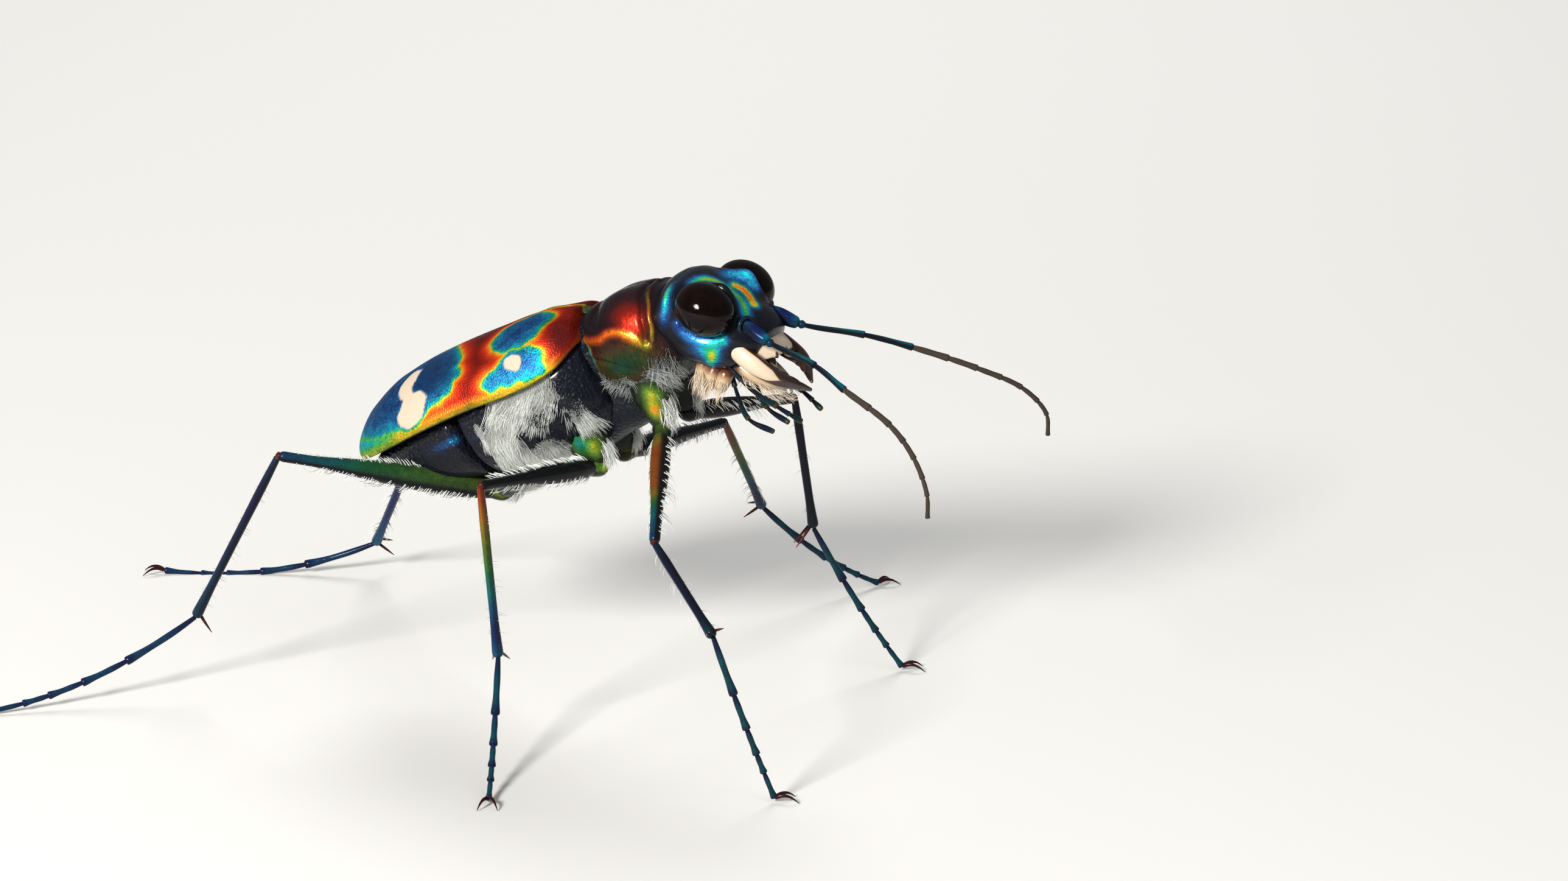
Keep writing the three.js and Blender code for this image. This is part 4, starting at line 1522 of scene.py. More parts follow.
    def _shell(self, side: Side) -> Surface:
        """One wing case as a closed shell.

        Args:
            side: which of the two.

        Returns:
            Its outer and inner skins as one surface.
        """
        share = spread(self.rows, 0.55)[:, None]
        outer_angle = np.linspace(0.0, self.hem, self.across)[None, :]
        outer = Skin(TRUNK, CASE, self.square, self.round).local(share, outer_angle)
        paint = self._paint(outer)
        inner_angle = np.linspace(self.hem, 0.0, self.inner)[None, :]
        inner = Skin(TRUNK, CASE, self.square, self.round, swell=-self.wall).local(share, inner_angle)
        for hump in self.humps:
            outer[..., 2] += hump.push * near(outer, hump.at, hump.reach)
        beside_seam = np.exp(-((outer[..., 1] / 0.05) ** 2))
        outer[..., 2] -= self.groove * beside_seam * smooth(share, 0.0, 0.05)
        bead = np.exp(-(((outer_angle - self.bead_angle) / self.bead_width) ** 2))
        outer[..., 1] += self.bead_rise * bead * np.sin(math.pi * share)
        ring = np.concatenate([outer, inner], axis=1)
        ring[..., 1] = np.maximum(ring[..., 1], self.seam) * side.value
        dark = paints(inner.shape[:2], tone=0.05, glow=0.2)
        paint = {key: np.concatenate([paint[key], dark[key]], axis=1) for key in paint}
        return Surface(TRUNK.world(ring), paint)

    def build(self, shop: Workshop) -> None:
        """Makes both cases."""
        for side in Side:
            shop.piece(
                f"wing_case_{side.word}", [self._shell(side)], self.finish, "wing_case", [f"elytron_{side.word}"]
            )


@dataclass
class Prothorax:
    """The neck shield between the wing cases and the head, with its gold bead and white hair."""

    rows: int = 170
    columns: int = 240
    hair_thick: float = 0.019
    finish: Metal = Metal(
        "shield skin", rough=0.38, metallic=0.55, coat=0.06, grain=0.16, grain_depth=0.009, flecks=0.06,
        wrinkle=(2.2, 0.5, 0.5),
    )

    @property
    def skin(self) -> Skin:
        """The plain skin that the shield is sculpted from."""
        return Skin(SHIELD, SHIELD_SIDES, 2.3, 0.07)

    def hair(self) -> list[Patch]:
        """The grey, curly hair low on both sides.

        Returns:
            Its patches.
        """
        rows = (
            ((0.25, 0.62), (2.0, 2.75), Lie(0.5, 0.85, 0.3, 0.3), 0.75, 420, 15),
            ((0.5, 0.9), (1.85, 2.7), Lie(-0.55, 0.8, 0.3, 0.3), 0.75, 420, 17),
            ((0.04, 0.4), (1.95, 2.6), Lie(-0.75, 0.6, 0.35, 0.3), 0.75, 420, 19),
        )
        return [patch for side in Side for patch in growth(self.skin, side, rows, self.hair_thick, 0.3, 0.4)]

    def build(self, shop: Workshop) -> None:
        """Makes the shield.

        Args:
            shop: the workshop that makes the pieces.
        """
        bead = [
            (-0.1, 1.44, 0.1), (0.1, 1.58, 0.0), (0.6, 1.77, -0.02), (1.0, 1.85, 0.09), (1.45, 1.91, 0.04),
            (1.8, 1.95, -0.2), (2.35, 1.87, -0.74),
        ]
        collar = [
            (2.62, 0.0, 1.1), (2.62, 1.06, 0.88), (2.71, 1.42, 0.53), (2.68, 1.64, 0.16), (2.68, 1.72, -0.2),
            (2.55, 1.78, -0.58),
        ]
        heel = [(0.12, 0.0, 1.08), (0.1, 0.8, 0.9), (0.08, 1.35, 0.45)]
        seam = [(-0.1, 1.5, -0.6), (0.8, 1.85, -1.0), (1.6, 1.8, -1.5), (2.2, 1.5, -1.9)]
        rear = [(-0.14, 1.46, 0.0), (-0.14, 1.5, -0.3), (-0.14, 1.4, -1.1)]
        bead_tones = (0.77, 0.76, 0.77, 0.75, 0.72, 0.69, 0.58)
        bead_glows = (0.3, 0.5, 0.6, 0.8, 0.95, 1.0, 0.5)
        body = self.skin.sculpt(self.rows, self.columns, tone=0.86, glow=0.004)
        body.press(both([
            Crease(bead, 0.12, -0.07),
            Crease([(x, y * 0.97, z - 0.26) for x, y, z in bead], 0.12, 0.07),
            Crease(collar, 0.10, -0.05),
            Crease([(x - 0.26, y * 1.06, z * 1.08) for x, y, z in collar], 0.10, 0.12),
            Crease([(x + 0.22, y, z + 0.08) for x, y, z in heel], 0.12, 0.09),
            Crease(seam, 0.06, 0.07),
            Stroke((0.35, 1.1, 0.85), (0.3, 0.5, 0.5), -0.10),
            Stroke((1.4, 0.75, 1.2), (0.7, 0.5, 0.6), 0.06),
        ]))
        body.press([Crease([(0.3, 0.0, 1.1), (1.3, 0.0, 1.25), (2.4, 0.0, 1.2)], 0.05, 0.05)])
        body.tint(both([
            Tint((1.7, 1.1, 1.0), (0.7, 0.7, 0.5), 0.88, 0.014),
            Tint((1.2, 1.8, -1.1), (1.5, 0.7, 0.75), 0.44, 0.05),
            Tint((1.75, 1.6, 0.6), (0.42, 0.35, 0.30), 0.89, 0.16),
            Tint((2.02, 1.80, 0.20), (0.36, 0.35, 0.40), 0.87, 0.95),
            Stripe(bead, 0.13, bead_tones, bead_glows),
            Stripe(collar, 0.055, (0.30, 0.32, 0.38, 0.45, 0.40, 0.29), (0.02, 0.15, 0.4, 0.7, 0.7, 0.5)),
            Stripe(rear, 0.12, (0.38, 0.27, 0.24), (0.9, 0.8, 0.4)),
        ]))
        shop.piece("shield_skin", [body.surface()], self.finish, "shell", ["prothorax"])


@dataclass
class Head:
    """The head with its eyes, feelers' sockets and face."""

    rows: int = 190
    columns: int = 240
    eye: Point = (0.0, 1.6, -0.15)
    eye_radii: Point = (1.08, 0.95, 0.89)
    socket: Point = (1.40, 1.05, -0.12)
    socket_axis: Point = (0.75, 0.35, 0.35)
    socket_radius: float = 0.29
    socket_rim: float = 0.07
    finish: Metal = Metal(
        "head skin", rough=0.36, metallic=0.42, coat=0.18, grain=0.12, grain_depth=0.008, flecks=0.05,
        wrinkle=(0.4, 2.0, 2.0),
    )
    glass: EyeGlass = EyeGlass()

    def _skull(self) -> Surface:
        """The head's skin.

        Returns:
            The skin, sculpted and coloured.
        """
        orbit = [(-0.95, 1.1, 0.05), (-0.5, 0.86, 0.36), (0.0, 0.8, 0.42), (0.55, 0.88, 0.36), (1.0, 1.1, 0.1)]
        arc = [
            (-1.56, 1.27, -0.13), (-1.53, 1.54, -0.3), (-1.43, 1.73, -0.48), (-1.27, 1.85, -0.72),
            (-1.17, 1.87, -1.0), (-1.06, 1.83, -1.32),
        ]
        lower = [
            (-0.6, 1.77, -1.15), (-0.21, 1.73, -1.32), (0.25, 1.7, -1.35), (0.75, 1.65, -1.15), (1.05, 1.55, -0.8),
        ]
        cheek_rim = [(0.3, 1.5, -2.1), (0.85, 1.4, -1.9), (1.25, 1.3, -1.55), (1.6, 1.25, -1.2)]
        lip_seam = [(1.62, 1.15, -0.35), (1.78, 0.8, -0.1), (1.85, 0.4, 0.0), (1.88, 0.0, 0.02)]
        body = Skin(HEAD, SKULL, 2.3, 0.1).sculpt(self.rows, self.columns, tone=0.24, glow=0.005)
        body.press(both([
            Stroke((0.0, 1.7, -0.3), (0.9, 0.45, 0.7), -0.25),
            Stroke((0.1, 1.04, 0.25), (0.70, 0.27, 0.6), 0.56, (0.0, 0.0, 1.0)),
            Crease(orbit, 0.10, -0.06),
            Crease(arc, 0.12, -0.08),
            Crease(lower, 0.12, -0.07),
            Crease(cheek_rim, 0.07, -0.05),
            Crease([(x, y, z - 0.12) for x, y, z in cheek_rim], 0.05, 0.07),
            Crease(lip_seam, 0.05, 0.06),
            Stroke((1.40, 1.05, -0.08), (0.30, 0.30, 0.30), -0.12),
            Stroke((1.10, 0.45, 0.36), (0.35, 0.30, 0.4), -0.05),
            Stroke((-1.7, 1.2, -0.6), (0.25, 1.0, 1.2), -0.12),
        ]))
        body.press([
            Stroke((0.1, 0.0, 0.42), (0.9, 0.5, 0.5), -0.12),
            Stroke((-1.1, 0.0, 0.2), (0.5, 0.8, 0.5), 0.08),
        ])
        # These bands are the head's own iridescent hues, painted bright where highlights fall: partly its colour,
        # partly painted highlights.
        body.tint(both([
            Tint((-1.5, 0.8, 0.0), (0.25, 0.5, 0.3), 0.34, 0.03),
            Stripe(arc, 0.15, (0.34, 0.46, 0.49, 0.42, 0.35, 0.22), (0.15, 0.7, 1.0, 1.0, 0.9, 0.3), fringe=0.18),
            Stripe(lower, 0.17, (0.20, 0.25, 0.31, 0.42, 0.42), (0.6, 0.9, 1.0, 1.0, 0.7), fringe=0.06),
            Tint((0.35, 1.62, -1.6), (0.30, 0.4, 0.26), 0.26, 0.5),
            Tint((0.66, 1.62, -1.45), (0.30, 0.4, 0.30), 0.42, 1.0, fringe=0.1),
            Tint((0.90, 1.50, -1.56), (0.24, 0.36, 0.42), 0.62, 1.0, fringe=0.18),
            Tint((1.0, 1.56, -0.85), (0.16, 0.3, 0.16), 0.41, 0.9),
            Tint((0.92, 1.28, -2.04), (0.15, 0.3, 0.14), 0.47, 1.0, fringe=0.1),
        ]))
        return body.tint(self._forehead()).surface()

    @staticmethod
    def _forehead() -> list[Stripe]:
        """The marks of the forehead: the head's own iridescent hues, painted bright where highlights fall, so they
        differ from side to side.

        Returns:
            The marks in the order they're laid.
        """
        left_green = [(-0.5, 0.60, 0.40), (-0.2, 0.80, 0.60), (0.15, 0.85, 0.68), (0.5, 0.85, 0.52)]
        left_blue = [(-0.4, 0.98, 0.6), (0.05, 1.06, 0.78), (0.5, 1.02, 0.6)]
        right_blue = [
            (-0.48, -0.78, 0.40), (-0.1, -0.62, 0.5), (0.3, -0.62, 0.5), (0.66, -0.76, 0.42), (1.0, -0.9, 0.24),
        ]
        right_brow = [
            (-0.92, -0.98, 0.17), (-0.8, -0.6, 0.28), (-0.54, -0.25, 0.36), (-0.1, -0.12, 0.4), (0.3, -0.25, 0.41),
            (0.64, -0.44, 0.38), (0.95, -0.66, 0.3), (1.16, -0.85, 0.2),
        ]
        brow_tones = (0.46, 0.53, 0.57, 0.62, 0.57, 0.53, 0.52, 0.47)
        orange = [(0.06, 0.30, 0.4), (0.39, 0.31, 0.4), (0.78, 0.10, 0.39), (1.08, -0.16, 0.36)]
        return [
            Stripe(left_green, 0.28, (0.33, 0.37, 0.39, 0.34), (0.6, 1.0, 1.0, 0.7), fringe=0.12),
            Stripe(left_blue, 0.16, (0.22, 0.26, 0.24), (0.4, 0.7, 0.5)),
            Stripe(right_blue, 0.15, (0.27, 0.29, 0.30, 0.36, 0.34), (0.4, 0.8, 0.9, 0.9, 0.5)),
            Stripe(right_brow, 0.21, brow_tones, (0.7, 1.0, 1.0, 1.0, 1.0, 1.0, 1.0, 0.7), fringe=0.2),
            Stripe(orange, 0.21, (0.80, 0.85, 0.81, 0.72), (0.9, 1.0, 1.0, 1.0), fringe=0.14),
        ]

    def _eyeball(self, side: Side) -> Surface:
        """One eye as a ball.

        Args:
            side: which of the two.

        Returns:
            The eye, without paint.
        """
        rise = np.linspace(0.0, math.pi, 72)[:, None]
        turn = turns(110)
        ball = [np.sin(rise) * np.cos(turn), np.sin(rise) * np.sin(turn), np.cos(rise) + 0 * turn]
        points = np.stack(ball, axis=-1) * np.asarray(self.eye_radii) + mirrored(self.eye, side)
        return Surface(HEAD.world(points))

    def _socket(self, side: Side) -> Surface:
        """The raised ring that a feeler stands in.

        Args:
            side: which of the two.

        Returns:
            The ring.
        """
        center = mirrored(self.socket, side)
        axis = unit(mirrored(self.socket_axis, side))
        beside = unit(np.cross(axis, np.asarray(UP)))
        upright = np.cross(beside, axis)
        turn, tube = np.linspace(0.0, TURN, 40)[:, None], turns(14)
        wide = self.socket_radius + self.socket_rim * np.cos(tube)
        around = beside * np.cos(turn)[..., None] + upright * np.sin(turn)[..., None]
        points = center + around * wide[..., None] + axis * (self.socket_rim * np.sin(tube))[..., None]
        return Surface(HEAD.world(points), paints(points.shape[:2], tone=0.3, glow=0.04))

    def build(self, shop: Workshop) -> None:
        """Makes the head and its eyes.

        Args:
            shop: the workshop that makes the pieces.
        """
        sockets = [self._socket(side) for side in Side]
        shop.piece("head_skin", [self._skull(), *sockets], self.finish, "shell", ["head"])
        for side in Side:
            shop.piece(f"eye_{side.word}", [self._eyeball(side)], self.glass, "eye", [f"eye_{side.word}"])


@dataclass
class Mouth:
    """The lip, the crossing jaws, the lobes between them and the palps."""

    lip_width: float = 1.0
    lip_reach: tuple[float, float] = (1.55, 2.78)
    crossing: float = 0.22
    teeth: tuple[tuple[float, float], ...] = ((0.47, 0.62), (0.60, 0.72), (0.74, 0.60))
    horn: Horn = Horn()
    palp: Metal = Metal("palp skin", grain=0.2, grain_depth=0.004, flecks=0.04)

    def _lip(self) -> Surface:
        """The cream lip with its toothed front edge.

        Returns:
            The lip as rows from its root to its edge.
        """
        share = column(48)
        cross = np.linspace(-1.0, 1.0, 90)[None, :]
        side_fall = dome(np.abs(cross), 3.0)
        teeth = 0.10 * np.maximum(0.0, np.cos(3.0 * math.pi * cross)) ** 6 * (np.abs(cross) < 0.84)
        start, end = self.lip_reach
        reach = start + (end - start) * (0.62 + 0.38 * side_fall) + teeth
        x = start + (reach - start) * share
        y = self.lip_width * cross * (1.0 - 0.10 * share**2)
        arch = -0.78 + 0.42 * side_fall - 0.28 * share**1.6
        thick = 0.24 * dome(2.0 * share - 1.0, 6) * (0.25 + 0.75 * side_fall)
        x, y, arch, thick = np.broadcast_arrays(x, y, arch, thick)
        top = np.stack([x, y, arch + thick / 2], axis=-1)
        bottom = np.stack([x, y, arch - thick / 2], axis=-1)[:, ::-1]
        points = np.concatenate([top, bottom], axis=1)
        tip = smooth(np.broadcast_to(share, x.shape) * (0.95 + teeth * 2.2), 0.94, 1.08)
        tone = np.concatenate([tip, tip[:, ::-1]], axis=1)
        return Surface(HEAD.world(points), {"tone": tone})

    def _jaw(self, side: Side) -> list[Surface]:
        """One jaw with its teeth, cream outside and dark at the tip.

        Args:
            side: which of the two.

        Returns:
            The jaw's body, its inner plate and its teeth.
        """
        s = side.value
        lift = s * self.crossing
        path = spline([
            (1.15, s * 1.15, -1.0), (2.3, s * 1.28, -1.08), (3.2, s * 0.95, -1.12 + lift / 2),
            (4.15, -s * 0.2, -1.25 + lift),
        ])
        blade = Rod(lambda share: HEAD.world(path(share)), rule(0.30, 0.36, 0.31, 0.22, 0.06), flat=0.8)
        made = blade.surface(70, 48, always(0.0))
        count, around = made.points.shape[:2]
        share = column(count)
        turn = turns(around) - blade.facing((0.0, s, 0.25))
        aside = np.abs((turn + math.pi) % TURN - math.pi)
        half = np.interp(share, (0.0, 0.12, 0.3, 0.55, 0.72), (0.7, 1.25, 1.15, 0.75, -0.3))
        made.paint = {"tone": smooth(aside - half, -0.12, 0.16) * 0.95}
        parts = [made, self._blade(path, s)]
        for place, length in self.teeth:
            root = path(np.array(place))
            tip = root + np.array([0.28, -s * length, 0.0])
            middle = root + np.array([0.0, -s * length * 0.6, 0.0])
            ends = [HEAD.world(point) for point in (root, middle, tip)]
            tooth = Rod(bent(*ends), rule(0.24, 0.15, 0.03)).surface(14, 18, fade(0.8, 1.0))
            parts.append(Surface(tooth.points, {"tone": tooth.paint["tone"]}))
        return parts

    @staticmethod
    def _blade(path: Rule, side: float) -> Surface:
        """The flat inner plate of a jaw, dark with a cream mark at its middle.

        Args:
            path: the jaw's path in the head's frame.
            side: the sign of its side's Y.

        Returns:
            The plate.
        """
        share = np.linspace(0.04, 0.985, 60)[:, None]
        turn = turns(32)
        end = dome(2.0 * (share - 0.04) / 0.945 - 1.0, 8)
        wide = np.interp(share, (0.0, 0.2, 0.5, 0.8, 1.0), (0.6, 0.9, 0.78, 0.36, 0.05)) * end
        inner = path(share) + np.stack([0 * share, -side * wide / 2, 0 * share], axis=-1)
        across, thick = np.cos(turn) * wide / 2, np.sin(turn) * (0.12 * end)
        points = inner + np.stack([0 * across, -side * across, thick], axis=-1)
        mark = near(points, (2.75, side * 0.55, -0.95), (0.22, 0.16, 0.5))
        mark = mark + near(points, (3.2, side * 0.3, -0.95), (0.13, 0.12, 0.5))
        return Surface(HEAD.world(points), {"tone": 1.0 - 0.9 * smooth(mark, 0.4, 0.7)})

    def _plates(self) -> list[Surface]:
        """The dark throat, the lobes and the pale plates under the cheeks.

        Returns:
            The throat and, for each side, its lobe and plates.
        """
        path = straight(HEAD.world((0.9, 0.0, -1.5)), HEAD.world((2.7, 0.0, -1.45)))
        throat = Rod(path, rule(0.7, 0.66, 0.5, 0.3), flat=1.1)
        parts = [throat.surface(20, 32, fade(0.95, 1.0))]
        tones = stops((0, 0.75), (0.5, 0.42), (0.85, 0.38), (1, 0.6))
        for side in Side:
            parts.append(self.lobe(side).surface(30, 28, stops((0, 0.75), (0.25, 0.35), (0.9, 0.2), (1, 0.4))))
            parts += [plate.surface(24, 32, tones) for plate in self.cheek_plates(side)]
        return parts

    def cheek_plates(self, side: Side) -> list[Rod]:
        """The pale plates that hang under a cheek.

        Args:
            side: which of the two.

        Returns:
            The plates from back to front.
        """
        ends = (
            ((0.5, 0.75, -2.1), (0.75, 0.95, -3.0)),
            ((0.95, 0.75, -2.1), (1.1, 0.98, -3.02)),
            ((1.4, 0.75, -2.0), (1.5, 0.95, -2.85)),
        )
        paths = [straight(*(HEAD.world(mirrored(point, side)) for point in pair)) for pair in ends]
        return [Rod(path, rule(0.24, 0.27, 0.25, 0.2), blunt=0.8) for path in paths]

    def _palp(self, path: Sequence[Point], side: Side, joints: Sequence[float]) -> list[Surface]:
        """One palp of slender joints, each widening to its end.

        Args:
            path: its points for the left side, in the head's frame.
            side: which of the two.
            joints: where its joints meet, as shares of its length.

        Returns:
            Its joints from the root.
        """
        curve = laid(HEAD, path, side)
        ends = [0.0, *joints, 1.0]
        tones = [(0.26, 0.33), (0.30, 0.36), (0.20, 0.30), (0.30, 0.47)]
        parts = []
        for index, (start, end) in enumerate(zip(ends, ends[1:])):
            stretch = part_of(curve, max(start - 0.03, 0.0), end)
            first, last = tones[index % len(tones)]
            wide = rule(0.055, 0.075, 0.085, 0.105) if end < 1.0 else rule(0.055, 0.08, 0.105, 0.09)
            tones_here = stops((0, first), (0.9, last), (0.95, 0.74), (1, 0.72))
            glows = stops((0, 0.004), (0.5, 0.012), (0.88, 0.04), (0.95, 0.08), (1, 0.04))
            parts.append(Rod(stretch, wide, blunt=0.5).surface(22, 20, tones_here, glows))
        return parts

    def lobe(self, side: Side) -> Rod:
        """The bristly lobe between jaw and palp."""
        points = [(1.5, 0.75, -1.65), (2.3, 0.75, -1.75), (3.0, 0.5, -1.75), (3.45, 0.2, -1.7)]
        return Rod(laid(HEAD, points, side), rule(0.2, 0.22, 0.17, 0.08))

    def build(self, shop: Workshop) -> None:
        """Makes the mouth parts.

        Args:
            shop: the workshop that makes the pieces.
        """
        shop.piece("lip", [self._lip()], self.horn, "jaw", ["labrum"])
        shop.piece("mouth_plates", self._plates(), self.horn, "jaw", [])
        maxillary = [(1.4, 1.0, -1.8), (2.6, 1.15, -2.02), (3.8, 1.0, -2.12), (4.6, 0.8, -2.2)]
        labial = [(1.3, 0.5, -2.0), (2.06, 0.7, -2.68), (2.8, 0.75, -3.22), (3.8, 0.6, -3.2)]
        for side in Side:
            shop.piece(f"jaw_{side.word}", self._jaw(side), self.horn, "jaw", [f"mandible_{side.word}"])
            outer = self._palp(maxillary, side, (0.2, 0.62, 0.8))
            shop.piece(f"maxilla_{side.word}", outer, self.palp, "feeler", [f"maxillary_palp_{side.word}"])
            inner = self._palp(labial, side, (0.25, 0.68))
            shop.piece(f"labial_palp_{side.word}", inner, self.palp, "feeler", [f"labial_palp_{side.word}"])

    def bristles(self) -> list[Patch]:
        """The cream bristles along the lobes and on the plates under the cheeks.

        Returns:
            Their patches.
        """
        made = []
        for side in Side:
            lobe = self.lobe(side)
            middle = lobe.facing(mirrored((0.0, 0.35, -1.0), side))
            angles = (middle - 1.1, middle + 1.1)
            made.append(Patch(lobe, (0.1, 0.97), angles, Lie(1.0, 0.15, 0.55, 0.1), 0.62, 0.03, 150, 91))
            for seed, plate in enumerate(self.cheek_plates(side)):
                outer = plate.facing(mirrored((0.0, 1.0, -0.6), side))
                angles, lie = (outer - 1.0, outer + 0.8), Lie(1.0, 0.1, 0.22, 0.15)
                made.append(Patch(plate, (0.3, 0.98), angles, lie, 0.6, 0.022, 330, 93 + seed))
        return made


@dataclass
class Feelers:
    """Two feelers of eleven joints each."""

    root: Point = (1.3, 1.05, -0.1)
    path: tuple[Point, ...] = (
        (0, 0, 0), (1.0, 0.2, -0.46), (3.1, 1.0, -0.82), (4.6, 1.8, -1.3),
        (6.7, 2.7, -2.05), (8.0, 3.6, -2.85), (8.65, 4.1, -3.8), (8.7, 4.15, -4.6),
    )
    joints: tuple[float, ...] = (1.18, 0.23, 2.07, 1.75, 1.29, 1.05, 0.93, 0.82, 0.80, 0.61, 0.76)
    shiny: int = 4
    overlap: float = 0.008
    finish: Metal = Metal("feeler skin", grain=0.2, grain_depth=0.003, flecks=0.03, cream=(0.030, 0.023, 0.018))

    def _joint(self, curve: Rule, index: int, start: float, end: float) -> Surface:
        """One joint, slim at its root and wider at its end.

        Args:
            curve: the feeler's path.
            index: which joint, from 0.
            start: where it starts, as a share of the path.
            end: where it ends.

        Returns:
            The joint.
        """
        stretch = part_of(curve, start if index == 0 else start - self.overlap, end)
        if index == 0:
            rod = Rod(stretch, rule(0.15, 0.24, 0.25, 0.20), blunt=0.6)
            tones = stops((0, 0.36), (0.4, 0.16), (0.7, 0.2), (0.9, 0.32), (1, 0.36))
            # Painted shade on the underside of the first joint.
            return rod.surface(30, 28, tones, stops((0, 0.25), (0.4, 0.4), (1, 0.7)), 0.85)
        if index == 1:
            rod = Rod(stretch, rule(0.09, 0.15, 0.10))
            return rod.surface(12, 24, fade(0.22, 0.3), fade(0.06, 0.12))
        if index < self.shiny:
            tones = stops((0, 0.10), (0.25, 0.30), (0.8, 0.38), (1, 0.30))
            rod = Rod(stretch, rule(0.08, 0.10, 0.105, 0.135), blunt=0.5)
            glows = stops((0, 0.02), (0.5, 0.10), (0.85, 0.28), (0.95, 0.4), (1, 0.02))
            # Painted shade on the underside of these joints.
            return rod.surface(36, 22, tones, glows, 0.97)
        slim = 0.108 - 0.006 * (index - self.shiny)
        rod = Rod(stretch, rule(slim * 0.75, slim, slim, slim * 1.2), blunt=0.5)
        made = rod.surface(24, 20, fade(0.95, 0.92), stops((0, 0.3), (0.9, 0.3), (1, 0.05)))
        fuzz = column(made.points.shape[0])
        made.paint["cream"] = made.paint["cream"] + 1.0 - 0.7 * smooth(fuzz, 0.86, 1.0)
        return made

    def build(self, shop: Workshop) -> None:
        """Makes both feelers, each in two pieces.

        Args:
            shop: the workshop that makes the pieces.
        """
        for side in Side:
            root = HEAD.world(mirrored(self.root, side))
            curve = spline([mirrored(point, side) + root for point in self.path])
            even = np.linspace(0.0, 1.0, 400)
            steps = np.linalg.norm(np.diff(curve(even), axis=0), axis=1)
            walked = np.concatenate([[0.0], np.cumsum(steps)])
            ends = np.cumsum([0.0, *self.joints])
            places = np.interp(ends / ends[-1] * walked[-1], walked, even)
            parts = [self._joint(curve, i, *pair) for i, pair in enumerate(zip(places, places[1:]))]
            for name, some in (("base", parts[: self.shiny]), ("tip", parts[self.shiny :])):
                node = f"antenna_{side.word}_{name}"
                shop.piece(f"feeler_{side.word}_{name}", some, self.finish, "feeler", [node])


